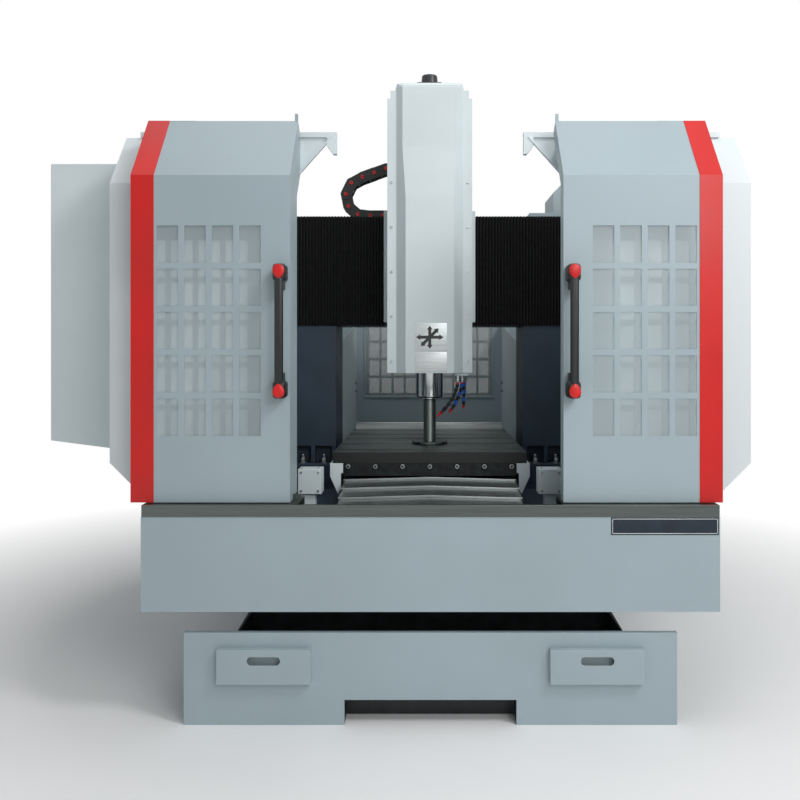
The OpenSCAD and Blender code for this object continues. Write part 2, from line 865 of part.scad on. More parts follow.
module front_cover_1() { front_plate(0, saddle_y0 - front_edge[0]); }
module front_cover_2() { front_plate(1, plate_l); }
module front_cover_3() { front_plate(2, plate_l); }
module rear_cover_1() { rear_plate(0, rear_edge[0] - saddle_y1); }
module rear_cover_2() { rear_plate(1, plate_l); }
module rear_cover_3() { rear_plate(2, plate_l); }
module fixed_covers() {
  way_plate(3, front_edge[3], front_edge[3] + plate_l, bed_top);
  way_plate(3, rear_edge[3] - plate_l, rear_edge[3], bed_top);
}

// Enclosure

waist_out = waist_half + sheet_t;
bend_z = corner_z - (shell_half - waist_out);

// Outline of one side wall in X-Z, moved in by d from its outer face
function side_wall(d) = [
  [waist_out - d, waist_z0], [waist_out - d, bend_z + 0.41 * d], [shell_half - d, corner_z + 0.41 * d],
  [shell_half - d, fixed_top_z]];

module enclosure_floor() {
  gap = 3;
  chute_half = 400;
  color(grey_paint) difference() {
    box([-waist_half, waist_front + sheet_t, floor_z], [waist_half, shell_back, floor_z + sheet_t]);
    box([-bed_half - gap, bed_front - gap, floor_z - 1], [bed_half + gap, bed_back + gap, floor_z + 9]);
    both_sides()
      box([bed_half - 1, column_front - shoulder_lap - gap, floor_z - 1],
          [column_out + 20 + gap, column_back + shoulder_lap + gap, floor_z + 9]);
    box([-chute_half, nose_front + 20, floor_z - 1], [chute_half, nose_front + 160, floor_z + 9]);
  }
}

module waist_panel() {
  back = waist_front + sheet_t;
  top_return = 40;
  low_return = 67;
  color(grey_paint) union() {
    box([-waist_out, waist_front, waist_z0], [waist_out, back, sill_z0]);
    box([-waist_half, back - 1, sill_z0 - sheet_t], [waist_half, back + top_return, sill_z0]);
    box([-waist_half, back - 1, waist_z0], [waist_half, back + low_return, floor_z]);
  }
}

// Stainless channel under the doors, with a front lip and a guide rib behind the doors,
// notched at its back so that the table's covers can run in under it
module door_sill() {
  y0 = waist_front - sheet_t;
  y1 = fixed_y + sheet_t;
  rib_y = door_return + 2;
  rib_h = 22;
  notch_half = right_open - 4;
  notch_y = waist_front + 15;
  color(dark_steel) difference() {
    along_x(-waist_half, waist_half)
      polygon([[y0, sill_z0], [y0, sill_top], [rib_y, sill_top], [rib_y, sill_top + rib_h],
               [rib_y + sheet_t, sill_top + rib_h], [rib_y + sheet_t, sill_top],
               [y1, sill_top], [y1, sill_z0], [y1 - sheet_t, sill_z0], [y1 - sheet_t, sill_top - sheet_t],
               [waist_front, sill_top - sheet_t], [waist_front, sill_z0]]);
    box([-notch_half, notch_y, sill_z0 - 1], [notch_half, y1 + 1, sill_top + rib_h + 1]);
  }
}

// Fixed panels behind the open doors, with windows of their own
module front_panels() {
  run = fixed_top_y - fixed_y;
  flange = 90;
  cols = 4;
  rows = 5;
  cell_w = 80;
  cell_h = 135;
  bar = 20;
  edge = 124;
  z0 = corner_z + 58;
  k = shell_half - corner_z;
  low = sill_top - 60;
  high = corner_z + 60;
  color(white_paint) both_sides() difference() {
    union() {
      along_x(fixed_in, shell_half)
        polygon(lean_sheet(fixed_y, sill_top, crease_z, run, fixed_top_z, fixed_bend, sheet_t));
      along_x(fixed_in, fixed_in + sheet_t)
        polygon(lean_sheet(fixed_y, sill_top, crease_z, run, fixed_top_z, fixed_bend, flange));
    }
    along_y(fixed_y - 1, fixed_y + sheet_t + 1)
      polygon([[k + low, low], [k + high, high], [k + high, low]]);
    for (i = [0:cols - 1], j = [0:rows - 1])
      translate([shell_half - edge - cell_w - i * (cell_w + bar), fixed_y - 1, z0 + j * (cell_h + bar)])
        cube([cell_w, sheet_t + 2, cell_h]);
  }
}

module side_panels() {
  y0 = fixed_y + sheet_t;
  top_y = fixed_top_y + sheet_t * cos(fixed_bend);
  top_z = fixed_top_z - sheet_t * sin(fixed_bend);
  color(white_paint) both_sides() union() {
    difference() {
      along_y(y0, shell_back) polygon(concat(side_wall(0), [for (i = [3:-1:0]) side_wall(sheet_t)[i]]));
      along_x(shell_half - 200, shell_half + 1)
        polygon([[0, crease_z - sheet_t * tan(fixed_bend / 2)],
                 [y0, crease_z - sheet_t * tan(fixed_bend / 2)], [top_y, top_z],
                 [top_y + 50 * tan(fixed_bend), top_z + 50], [0, top_z + 50]]);
    }
    box([waist_half, waist_front + sheet_t, waist_z0], [waist_out, y0 + 1, bend_z]);
  }
}

module rear_wall() {
  cols = 10;
  rows = 7;
  cell_w = 62;
  cell_h = 93;
  pitch_x = 76;
  pitch_z = 110;
  z0 = 1034;
  outline = side_wall(0);
  color(grey_paint) difference() {
    along_y(shell_back, shell_back + sheet_t)
      polygon(concat(outline, [for (i = [3:-1:0]) [-outline[i][0], outline[i][1]]]));
    for (i = [0:cols - 1], j = [0:rows - 1])
      translate([(i - cols / 2 + 0.5) * pitch_x - cell_w / 2, shell_back - 1, z0 + j * pitch_z])
        cube([cell_w, sheet_t + 2, cell_h]);
  }
}

module rear_guards() {
  x = column_in + 5;
  z0 = shoulder_z + 8;
  z1 = beam_z - 56;
  fall = 217;
  color(grey_paint) both_sides() along_x(x, x + sheet_t)
    polygon([[column_back, z0], [column_back, z1], [shell_back, z1 - fall], [shell_back, z0]]);
}

// Folded boxes beside the table, on feet that stand on the bed
module side_shields() {
  x0 = table_w / 2 + 20;
  x1 = x0 + 90;
  z1 = table_bottom + 6;
  z0 = z1 - 95;
  y0 = 300;
  y1 = y0 + 75;
  color(white_paint) both_sides() union() {
    difference() {
      box([x0, y0, z0], [x1, y1, z1]);
      box([x0 + sheet_t, y0 + sheet_t, z0 - 1], [x1 - sheet_t, y1 + 1, z1 - sheet_t]);
    }
    box([x0 + 25, y0 + 15, bed_top], [x1 - sheet_t + 1, y0 + 55, z1 - 2 * sheet_t]);
  }
}

// Upper rails on the fixed panels, with a gusset under each inner end
module door_rails() {
  gusset_z = fixed_top_z - 136;
  tip = rail_bar_in + 20;
  y = fixed_top_y - 2;
  stop_w = 38;
  stop_h = 65;
  color(white_paint) both_sides() union() {
    box([rail_bar_in, rail_bar_y, fixed_top_z],
        [rail_bar_out, rail_bar_y + rail_bar_d, fixed_top_z + rail_bar_h]);
    along_y(rail_bar_y, rail_bar_y + rail_bar_d)
      polygon([[rail_bar_in, fixed_top_z + 1], [rail_bar_in + stop_w, fixed_top_z + 1],
               [rail_bar_in + stop_w, fixed_top_z - stop_h / 2],
               [rail_bar_in + stop_w / 3, fixed_top_z - stop_h], [rail_bar_in, fixed_top_z - stop_h]]);
    along_y(y, y + sheet_t)
      polygon([[fixed_in, gusset_z], [fixed_in, fixed_top_z + 1], [tip, fixed_top_z + 1]]);
    along_y(y - 14, y + sheet_t)
      polygon([[fixed_in, gusset_z - 5], [fixed_in, gusset_z + 3], [tip + 3, fixed_top_z + 2],
               [tip - 5, fixed_top_z + 2]]);
  }
}

// Sliding doors, drawn with the inner edge at x = 0 and the outer edge at x = door_w

module at_right_door() {
  translate([right_open, 0, 0]) children();
}

module at_left_door() {
  mirror([1, 0, 0]) translate([left_open, 0, 0]) children();
}

module door_shell() {
  edge = lean_sheet(0, door_z0, crease_z, door_top_y, door_top, door_bend, door_return);
  shoe_z = fixed_top_z + rail_bar_h + body_gap;
  hang_back = rail_bar_y + rail_bar_d + 5;
  tab = 12;
  color(grey_paint) difference() {
    union() {
      along_x(0, door_w)
        polygon(lean_sheet(0, door_z0, crease_z, door_top_y, door_top, door_bend, sheet_t));
      along_x(0, sheet_t) polygon(edge);
      along_x(door_w - sheet_t, door_w) polygon(edge);
      box([0, 0, door_z0], [door_w, door_return, door_z0 + sheet_t]);
      box([hang_x0, door_top_y - 2, door_top - sheet_t], [hang_x1, hang_back, door_top]);
      box([hang_x0, rail_bar_y - 5, shoe_z], [hang_x1, hang_back, door_top]);
      box([0, door_top_y - 2, door_top - 20], [tab, door_top_y + sheet_t, door_top + 26]);
    }
    for (i = [0:pane_cols - 1], j = [0:pane_rows - 1])
      translate([pane_x0 + i * (pane_w + pane_bar), -1, pane_z0 + j * (pane_h + pane_bar)])
        cube([pane_w, sheet_t + 2, pane_h]);
  }
}

module door_panes() {
  lap = 14;
  w = pane_cols * pane_w + (pane_cols - 1) * pane_bar;
  h = pane_rows * pane_h + (pane_rows - 1) * pane_bar;
  color("#dfe9ee")
    box([pane_x0 - lap, sheet_t, pane_z0 - lap],
        [pane_x0 + w + lap, sheet_t + 4, pane_z0 + h + lap]);
}

// Oval tube on two stand-offs, with a tapered cap on each end
module door_handle() {
  r = handle_d / 2;
  flat = handle_w / 2 - r;
  grip_l = handle_z1 - handle_z0 - 2 * cap_l;
  standoff_h = 34;
  color(black) translate([handle_x, 0, 0]) union() {
    translate([0, -handle_off, handle_z0 + cap_l]) linear_extrude(grip_l) union() {
      translate([-flat, 0]) circle(r = r);
      translate([flat, 0]) circle(r = r);
      translate([-flat, -r]) square([2 * flat, 2 * r]);
    }
    translate([0, -handle_off, handle_z1 - cap_l]) cylinder(r1 = r, r2 = r * 0.4, h = cap_l);
    translate([0, -handle_off, handle_z0]) cylinder(r1 = r * 0.4, r2 = r, h = cap_l);
    for (z = [handle_z0 + cap_l, handle_z1 - cap_l - standoff_h])
      box([-r, -handle_off, z], [r, 0, z + standoff_h]);
  }
}

module left_door() { at_left_door() door_shell(); }
module right_door() { at_right_door() door_shell(); }
module left_panes() { at_left_door() door_panes(); }
module right_panes() { at_right_door() door_panes(); }
module left_handle() { at_left_door() door_handle(); }
module right_handle() { at_right_door() door_handle(); }

// Coolant tank with a toe recess and two box handles
module tank() {
  top = tank_h - sheet_t - 1;
  y0 = sheet_t + body_gap;
  color(black) difference() {
    box([-tub_half, y0, 0], [tub_half, tank_d, top]);
    difference() {
      box([sheet_t - tub_half, y0 + sheet_t, sheet_t], [tub_half - sheet_t, tank_d - sheet_t, top + 1]);
      box([-toe_half - sheet_t, 0, 0], [toe_half + sheet_t, toe_d + sheet_t, toe_h + sheet_t]);
    }
    box([-toe_half, y0 - 1, -1], [toe_half, toe_d, toe_h]);
  }
}

// Folded front of the tank, with two pressed handles on it
module tank_front() {
  half = tank_w / 2;
  top_fold = 20;
  side_fold = 25;
  color(grey_paint) {
    difference() {
      union() {
        box([-half, 0, 0], [half, sheet_t, tank_h]);
        box([-half, 0, tank_h - sheet_t], [half, top_fold, tank_h]);
        both_sides() box([half - sheet_t, 0, 0], [half, side_fold, tank_h]);
      }
      box([-toe_half, -1, -1], [toe_half, sheet_t + 1, toe_h]);
    }
    both_sides() tank_handle();
  }
}

module tank_handle() {
  x0 = 415;
  x1 = 741;
  z0 = 150;
  z1 = 271;
  depth = 25;
  slot_h = 29;
  slot_run = 43;
  slot_z = 231;
  difference() {
    box([x0, -depth, z0], [x1, -body_gap, z1]);
    box([x0 + sheet_t, sheet_t - depth, z0 + sheet_t], [x1 - sheet_t, 0, z1 - sheet_t]);
    translate([(x0 + x1) / 2, 0, slot_z]) {
      box([-slot_run, -depth - 1, -slot_h / 2], [slot_run, -1, slot_h / 2]);
      for (side = [-1, 1])
        translate([side * slot_run, 0, 0]) cyl_y(slot_h / 2, -depth - 1, -1);
    }
  }
}

// Electrical cabinet: open on its outer side, where its door hangs on two pins

module cabinet_box() {
  open_x = cabinet_x0 + sheet_t + body_gap;
  lug_h = 18;
  color(white_paint) union() {
    difference() {
      along_y(cabinet_y0, cabinet_y1)
        polygon([[open_x, cabinet_z_out], [cabinet_x1, cabinet_z_in], [cabinet_x1, cabinet_top],
                 [open_x, cabinet_top]]);
      along_y(cabinet_y0 + sheet_t, cabinet_y1 - sheet_t)
        polygon([[open_x - 1, cabinet_z_out + sheet_t], [cabinet_x1 - sheet_t, cabinet_z_in + 1.2 * sheet_t],
                 [cabinet_x1 - sheet_t, cabinet_top - sheet_t], [open_x - 1, cabinet_top - sheet_t]]);
    }
    for (z = hinge_z) {
      for (lug_z = [z - lug_h - body_gap, z + hinge_l + body_gap]) {
        box([hinge_x, hinge_y - hinge_r - 1, lug_z], [cabinet_x0 + 40, hinge_y + hinge_r, lug_z + lug_h]);
        translate([hinge_x, hinge_y, lug_z]) cylinder(r = hinge_r, h = lug_h);
      }
      translate([hinge_x, hinge_y, z - lug_h]) cylinder(r = hinge_pin_r, h = hinge_l + 2 * lug_h);
    }
  }
}

module cabinet_door() {
  lap = 60;
  color(white_paint) difference() {
    union() {
      box([cabinet_x0, cabinet_y0 + sheet_t, cabinet_z_out + sheet_t],
          [cabinet_x0 + sheet_t, cabinet_y1 - sheet_t, cabinet_top - sheet_t]);
      for (z = hinge_z) {
        box([cabinet_x0 - sheet_t, cabinet_y1 - lap, z], [cabinet_x0 + 1, hinge_y, z + hinge_l]);
        translate([hinge_x, hinge_y, z]) cylinder(r = hinge_r, h = hinge_l);
      }
    }
    for (z = hinge_z)
      translate([hinge_x, hinge_y, z - 1]) cylinder(r = hinge_pin_r + run_fit, h = hinge_l + 2);
  }
}

// Servo drives in a row with the control unit under them, on the inner wall of the cabinet
module control_units() {
  x1 = cabinet_x1 - sheet_t;
  x0 = x1 - 200;
  drives = 4;
  drive_w = 110;
  drive_z = [cabinet_top - 571, cabinet_top - 271];
  unit_z = [cabinet_top - 971, cabinet_top - 691];
  pitch = (cabinet_y1 - cabinet_y0 - 240) / drives;
  color(dark_steel) {
    for (i = [0:drives - 1])
      translate([0, cabinet_y0 + 130 + i * pitch, 0])
        box([x0, 0, drive_z[0]], [x1, drive_w, drive_z[1]]);
    box([x0, cabinet_y0 + 200, unit_z[0]], [x1, cabinet_y1 - 300, unit_z[1]]);
  }
}

place() base_casting();
place() levelling_feet();
place() columns();
place() crossbeam();
place() linear_rails();
place() bearing_blocks();
place() axis_motors();
place() x_screw();
place() y_screw();
place() beam_end_cover();
place() bellows();
place() drag_chain();
place() saddle();
place() guide_blocks();
place() saddle_nuts();
place() chain_bracket();
place() ram();
place() z_rails();
place() z_motor();
place() z_screw();
place() spindle_housing();
place() spindle_motor();
place() spindle_shaft();
place() face_cutter();
place() head_cover();
place() coolant_hoses();
place() table();
place() table_saddle();
place() y_blocks();
place() y_nut();
place() table_flange();
place() table_aprons();
place() table_bar();
place() front_cover_1();
place() front_cover_2();
place() front_cover_3();
place() rear_cover_1();
place() rear_cover_2();
place() rear_cover_3();
place() fixed_covers();
place() enclosure_floor();
place() waist_panel();
place() door_sill();
place() front_panels();
place() side_panels();
place() rear_wall();
place() rear_guards();
place() side_shields();
place() door_rails();
place() left_door();
place() right_door();
place() left_panes();
place() right_panes();
place() left_handle();
place() right_handle();
place() tank();
place() tank_front();
place() cabinet_box();
place() cabinet_door();
place() control_units();
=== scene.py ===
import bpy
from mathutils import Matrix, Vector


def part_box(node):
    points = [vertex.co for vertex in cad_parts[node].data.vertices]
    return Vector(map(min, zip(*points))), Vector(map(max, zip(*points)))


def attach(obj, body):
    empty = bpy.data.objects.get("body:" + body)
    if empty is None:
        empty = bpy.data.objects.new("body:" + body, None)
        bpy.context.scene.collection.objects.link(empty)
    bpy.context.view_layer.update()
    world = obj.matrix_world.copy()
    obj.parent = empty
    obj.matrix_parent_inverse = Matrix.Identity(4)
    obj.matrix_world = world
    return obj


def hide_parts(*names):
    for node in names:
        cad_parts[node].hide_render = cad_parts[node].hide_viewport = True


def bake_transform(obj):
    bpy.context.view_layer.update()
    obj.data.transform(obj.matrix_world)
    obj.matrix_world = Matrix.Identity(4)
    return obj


bl_info = {
    "name": "Gantry Mill Dressing",
    "version": (1, 0, 0),
    "blender": (4, 5, 0),
    "location": "View3D > Sidebar > Gantry Mill",
    "description": "Finishes and small pieces of a gantry milling machine, on its packed frame",
    "category": "Object",
}

import math

import bmesh
import bpy
from mathutils import Matrix, Vector

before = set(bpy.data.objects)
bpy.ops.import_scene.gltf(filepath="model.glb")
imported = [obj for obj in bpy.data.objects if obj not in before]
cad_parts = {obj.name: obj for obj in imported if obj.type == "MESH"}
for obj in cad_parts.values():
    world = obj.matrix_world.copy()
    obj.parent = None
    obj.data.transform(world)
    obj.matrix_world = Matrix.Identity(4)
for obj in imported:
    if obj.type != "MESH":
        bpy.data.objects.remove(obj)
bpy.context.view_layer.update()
MM = 0.001


def linear(hex_colour):
    """Turns an sRGB hex colour into the linear RGBA that a shader takes."""
    parts = [int(hex_colour[i:i + 2], 16) / 255 for i in (1, 3, 5)]
    return (*[c / 12.92 if c <= 0.04045 else ((c + 0.055) / 1.055) ** 2.4 for c in parts], 1.0)


def colour(name, description, hex_colour):
    """A colour that a user would change, given as sRGB hex."""
    return bpy.props.FloatVectorProperty(
        name=name, description=description, default=linear(hex_colour), size=4, min=0, max=1, subtype="COLOR")


def length(name, description, millimetres):
    """A size that a user would change, given in millimetres."""
    return bpy.props.FloatProperty(
        name=name, description=description, default=millimetres * MM, min=0, unit="LENGTH")


class MillColours(bpy.types.PropertyGroup):
    """Colours of the machine's finishes"""
    grey: colour("Door grey", "Powder coat of the doors, front panel and tank", "#a3b3b9")
    white: colour("Head white", "Powder coat of the head, fixed panels and cabinet", "#dde7e9")
    red: colour("Trim red", "Enamel of the door trims", "#cf1813")
    navy: colour("Casting navy", "Enamel of the bed, columns and beam", "#2c3a49")
    steel: colour("Table steel", "Ground steel of the table", "#8a8f8c")
    stainless: colour("Cover steel", "Brushed steel of the way covers", "#a0a5a5")
    sill: colour("Sill steel", "Darker stainless steel of the door sill and cutter", "#5f6663")
    chrome: colour("Spindle steel", "Polished spindle nose and bars", "#c4c8ca")
    dark_steel: colour("Blackened steel", "Bearing blocks, feet and table flange", "#1f2223")
    black: colour("Black plastic", "Handles, chain and hoses", "#0f1213")
    cloth: colour("Bellows black", "Coated cloth of the bellows", "#070809")
    blue: colour("Hose blue", "Moulded hose joints", "#1f62cc")
    pane: colour("Window sheet", "Sheet of the door and front windows", "#e8f5f9")
    dust: colour("Rear window", "Dusty sheet of the rear windows", "#b4bec0")
    label: colour("Plate navy", "Bare plate on the front panel", "#1c2733")


class MillSizes(bpy.types.PropertyGroup):
    """Sizes of the pieces that dress the frame"""
    trim_width: length("Trim width", "Width of a red door trim", 79)
    trim_thickness: length("Trim thickness", "How far a trim stands off its door", 1.5)
    crease_height: length("Crease height", "Height of the fold in the doors", 1918)
    slope_run: length("Slope run", "How far back a door's slanted top leans", 179)
    slope_top: length("Slope top", "Height of a door's slanted top", 2157)
    white_edge: length("White edge", "Width of the white edge of the fixed front panels", 112)
    trim_return: length("Trim return", "How far a trim wraps round the edge of its door", 60)
    cover_depth: length("Cover depth", "How far the lower head cover stands off the ram", 45)
    cap_width: length("Cap width", "Width of a handle's red end cap", 44)
    cap_length: length("Cap length", "Length of a handle's red end cap", 52)
    fold_pitch: length("Fold pitch", "Distance between two bellows folds", 15)
    fold_depth: length("Fold depth", "Depth of the bellows folds", 20)
    chain_plug: length("Chain plug", "Radius of the red plug in a chain joint", 10)
    screw_head: length("Screw head", "Radius of a cover screw's head", 6)
    screw_pitch: length("Screw pitch", "Distance between two screws of the head cover", 197)
    hose_radius: length("Hose radius", "Radius of a jointed coolant hose", 9)
    plate_length: length("Plate length", "Length of the bare plate on the front panel", 372)
    plate_height: length("Plate height", "Height of the bare plate on the front panel", 60)


def add(tree, kind, inputs=None, **settings):
    """Adds a shader node. Inputs are plain values, or sockets that it is linked to."""
    made = tree.nodes.new(kind)
    for name, value in settings.items():
        setattr(made, name, value)
    for name, value in (inputs or {}).items():
        if isinstance(value, bpy.types.NodeSocket):
            tree.links.new(value, made.inputs[name])
        else:
            made.inputs[name].default_value = value
    return made


def start_finish(name, **shader):
    """A new material: its tree, its shader with the given sockets set, and the object's coordinates."""
    material = bpy.data.materials.new(name)
    material.use_nodes = True
    tree = material.node_tree
    surface = tree.nodes["Principled BSDF"]
    for socket, value in shader.items():
        surface.inputs[socket.replace("_", " ")].default_value = value
    return tree, surface, add(tree, "ShaderNodeTexCoord").outputs["Object"]


def dress(tree, surface, pattern, shades, rough, span=(0.3, 0.7), relief=None):
    """Lets a pattern, over a span of its values, move the base colour between two shades and the roughness
    between two values. A relief raises the surface: its pattern, its height in metres and its strength."""
    ramp = add(tree, "ShaderNodeValToRGB", {"Fac": pattern})
    for stop, at, shade in zip(ramp.color_ramp.elements, span, shades):
        stop.position, stop.color = at, shade
    tree.links.new(ramp.outputs["Color"], surface.inputs["Base Color"])
    gloss = add(tree, "ShaderNodeMapRange", {"Value": pattern, "From Min": span[0], "From Max": span[1],
                                             "To Min": rough[0], "To Max": rough[1]})
    tree.links.new(gloss.outputs["Result"], surface.inputs["Roughness"])
    if relief:
        height, distance, strength = relief
        bump = add(tree, "ShaderNodeBump", {"Height": height, "Distance": distance, "Strength": strength})
        tree.links.new(bump.outputs["Normal"], surface.inputs["Normal"])


def shades_of(rgba, *factors):
    """The same colour in several strengths, darker below 1 and lighter above it."""
    return [(*[min(c * factor, 1.0) for c in rgba[:3]], 1.0) for factor in factors]


def per_metre(mm):
    """Texture scale whose features are that many millimetres across."""
    return 1000 / mm


def noise_of(tree, where, mm, detail=3.0, stretch=(1, 1, 1)):
    """Soft noise with features of a real size in millimetres, drawn out along the axes of stretch."""
    place = add(tree, "ShaderNodeMapping", {"Vector": where, "Scale": stretch})
    cloud = add(tree, "ShaderNodeTexNoise",
                {"Vector": place.outputs["Vector"], "Scale": per_metre(mm), "Detail": detail})
    return cloud.outputs["Fac"]


def make_finishes(colours, sizes):
    """Makes every material of the machine."""

    # Powder coat baked on sheet steel: satin, with a fine orange peel and slow changes of tone.
    # The real peel is about 1 mm, drawn at 5 mm to show
    for name, base, rough in (("grey_powder_coat", colours.grey, (0.36, 0.48)),
                              ("white_powder_coat", colours.white, (0.32, 0.44))):
        tree, surface, where = start_finish(name, IOR=1.5)
        dress(tree, surface, noise_of(tree, where, mm=380), shades_of(base, 0.955, 1.03), rough,
              relief=(noise_of(tree, where, mm=5, detail=2), 0.2 * MM, 0.25))

    # The fixed front panels: grey round the windows, where the panels lie behind the doors, and white along
    # the outer edges, with a seam 1 mm wide between them
    tree, surface, where = start_finish("two_tone_powder_coat", IOR=1.5)
    low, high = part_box("front_panels")
    across = add(tree, "ShaderNodeSeparateXYZ", {0: where})
    centred = add(tree, "ShaderNodeMath", {0: across.outputs["X"], 1: (low.x + high.x) / 2},
                  operation="SUBTRACT")
    outward = add(tree, "ShaderNodeMath", {0: centred.outputs["Value"]}, operation="ABSOLUTE")
    seam = (high.x - low.x) / 2 - sizes.white_edge
    part = add(tree, "ShaderNodeMapRange", {"Value": outward.outputs["Value"], "From Min": seam,
                                            "From Max": seam + MM})
    dress(tree, surface, part.outputs["Result"], (colours.grey, colours.white), (0.42, 0.38),
          relief=(noise_of(tree, where, mm=5, detail=2), 0.2 * MM, 0.25))

    # Gloss enamel on the trims: deeper red, a thin coat of shine and slight unevenness
    tree, surface, where = start_finish("red_enamel", IOR=1.42, Coat_Weight=0.08, Coat_Roughness=0.25)
    dress(tree, surface, noise_of(tree, where, mm=240), shades_of(colours.red, 0.92, 1.08), (0.3, 0.42),
          relief=(noise_of(tree, where, mm=6, detail=2), 0.2 * MM, 0.25))

    # Thick enamel over cast iron: a coarse skin from the sand mould under the paint
    tree, surface, where = start_finish("navy_cast_enamel", IOR=1.5)
    dress(tree, surface, noise_of(tree, where, mm=160, detail=5), shades_of(colours.navy, 0.82, 1.18),
          (0.4, 0.58), relief=(noise_of(tree, where, mm=9, detail=4), 0.6 * MM, 0.5))

    # Ground table steel: fine straight marks across the top, dull patches where oil has dried, and painted
    # shade on the sides.
    # Grinding marks are about 0.1 mm apart, drawn at 2 mm to show
    tree, surface, where = start_finish("ground_table_steel", Metallic=1.0)
    facing = add(tree, "ShaderNodeSeparateXYZ", {0: add(tree, "ShaderNodeTexCoord").outputs["Normal"]})
    oil = noise_of(tree, where, mm=120, detail=6, stretch=(0.35, 1, 1))
    # Oil patches count only where a face looks up: the sides fall to the dark stop, which is painted shade
    top = add(tree, "ShaderNodeMath", {0: oil, 1: facing.outputs["Z"]}, operation="MULTIPLY")
    dress(tree, surface, top.outputs["Value"], shades_of(colours.steel, 0.14, 0.95), (0.5, 0.27),
          span=(0.1, 0.7),
          relief=(noise_of(tree, where, mm=2, detail=2, stretch=(0.02, 1, 1)), 0.2 * MM, 0.2))

    # Brushed stainless sheet: streaks along the brushing that stretch every reflection.
    # Brush marks are about 0.2 mm apart, drawn at 7 mm to show
    for name, base, rough in (("brushed_stainless", colours.stainless, (0.24, 0.36)),
                              ("dark_stainless", colours.sill, (0.3, 0.46))):
        tree, surface, where = start_finish(name, Metallic=1.0, Anisotropic=0.35)
        streak = noise_of(tree, where, mm=7, detail=4, stretch=(0.03, 1, 1))
        dress(tree, surface, streak, shades_of(base, 0.84, 1.05), rough, relief=(streak, 0.2 * MM, 0.12))

    # Ground and polished spindle steel: near mirror, with faint turning rings, drawn at 4 mm to show
    tree, surface, where = start_finish("polished_spindle_steel", Metallic=1.0)
    ring = noise_of(tree, where, mm=4, detail=2, stretch=(0.05, 0.05, 1))
    dress(tree, surface, ring, shades_of(colours.chrome, 0.86, 1.0), (0.1, 0.22))

    # Chemically blackened steel: dark, half dull, a little worn to grey
    tree, surface, where = start_finish("blackened_steel", Metallic=0.7)
    dress(tree, surface, noise_of(tree, where, mm=26, detail=5), shades_of(colours.dark_steel, 0.75, 1.9),
          (0.5, 0.36), span=(0.4, 0.8))

    # Zinc-plated screws: bright grey, slightly clouded
    tree, surface, where = start_finish("zinc_plate", Metallic=1.0)
    dress(tree, surface, noise_of(tree, where, mm=5), (linear("#8d9294"), linear("#bfc3c4")), (0.28, 0.42))

    # Coated bellows cloth: black, dull, with the weave showing through the coating.
    # The threads are about 0.5 mm apart, drawn at 4 mm to show. A wave repeats every 2 pi of its scale
    tree, surface, where = start_finish("coated_bellows_cloth", IOR=1.4, Sheen_Weight=0.04,
                                        Sheen_Roughness=0.5)
    weave = add(tree, "ShaderNodeTexWave",
                {"Vector": where, "Scale": per_metre(4) / math.tau, "Distortion": 0.6}, bands_direction="Z")
    dress(tree, surface, noise_of(tree, where, mm=30, detail=4), shades_of(colours.cloth, 0.7, 1.5),
          (0.62, 0.8), relief=(weave.outputs["Fac"], 0.3 * MM, 0.3))

    # Moulded plastic: a fine spark-eroded grain that breaks up the shine.
    # The grain is about 0.3 mm, drawn at 2 mm to show
    for name, base, rough in (("black_moulded_plastic", colours.black, (0.36, 0.5)),
                              ("blue_moulded_plastic", colours.blue, (0.3, 0.42)),
                              ("red_moulded_plastic", colours.red, (0.28, 0.4))):
        tree, surface, where = start_finish(name, IOR=1.46)
        dress(tree, surface, noise_of(tree, where, mm=18), shades_of(base, 0.85, 1.18), rough,
              relief=(noise_of(tree, where, mm=2, detail=2), 0.1 * MM, 0.35))

    # Motor enamel: smooth black, thinly sprayed over a cast housing
    tree, surface, where = start_finish("black_motor_enamel", IOR=1.5)
    dress(tree, surface, noise_of(tree, where, mm=40, detail=4), (linear("#101214"), linear("#1f2326")),
          (0.34, 0.5))

    # Hazy polycarbonate: what lies behind shows through a thin white veil, with slow cloudiness. The milky
    # sheet of the fixed windows hides more, and the dusty one at the back nearly all. Alpha counts once at
    # each face of a sheet
    for name, veil, base in (("hazy_polycarbonate", 0.2, colours.pane),
                             ("milky_polycarbonate", 0.6, colours.pane),
                             ("dusty_polycarbonate", 0.72, colours.dust)):
        tree, surface, where = start_finish(name, IOR=1.58, Alpha=veil)
        cloud = noise_of(tree, where, mm=150, detail=2, stretch=(1, 1, 0.3))
        dress(tree, surface, cloud, shades_of(base, 0.96, 1.06), (0.26, 0.22))

    # Anodised plate: dark navy, even and dull
    tree, surface, where = start_finish("anodised_plate", Metallic=0.3)
    dress(tree, surface, noise_of(tree, where, mm=60), shades_of(colours.label, 0.85, 1.15), (0.34, 0.46))

    # Printed aluminium plate: satin silver with faint rolling marks, drawn at 8 mm to show
    tree, surface, where = start_finish("satin_aluminium", Metallic=0.6)
    dress(tree, surface, noise_of(tree, where, mm=8, detail=2, stretch=(0.05, 1, 1)),
          (linear("#b3b9ba"), linear("#cfd4d4")), (0.34, 0.44))

    # Black printing ink: nearly black, half dull. It also paints the shade in the flange screws' sockets
    tree, surface, where = start_finish("black_ink_and_socket_shade", IOR=1.5)
    dress(tree, surface, noise_of(tree, where, mm=6), (linear("#17191b"), linear("#24272a")), (0.4, 0.55))


def slab(bm, low, high, rounding=0.0, finish=0):
    """Adds a box between two corners, with rounded edges."""
    known = set(bm.faces)
    low, high = Vector(low), Vector(high)
    place = Matrix.LocRotScale((low + high) / 2, None, high - low)
    corners = bmesh.ops.create_cube(bm, size=1.0, matrix=place)["verts"]
    if rounding:
        edges = list({edge for corner in corners for edge in corner.link_edges})
        bmesh.ops.bevel(bm, geom=edges, offset=rounding, segments=3, profile=0.5, affect="EDGES")
    for face in set(bm.faces) - known:
        face.material_index = finish


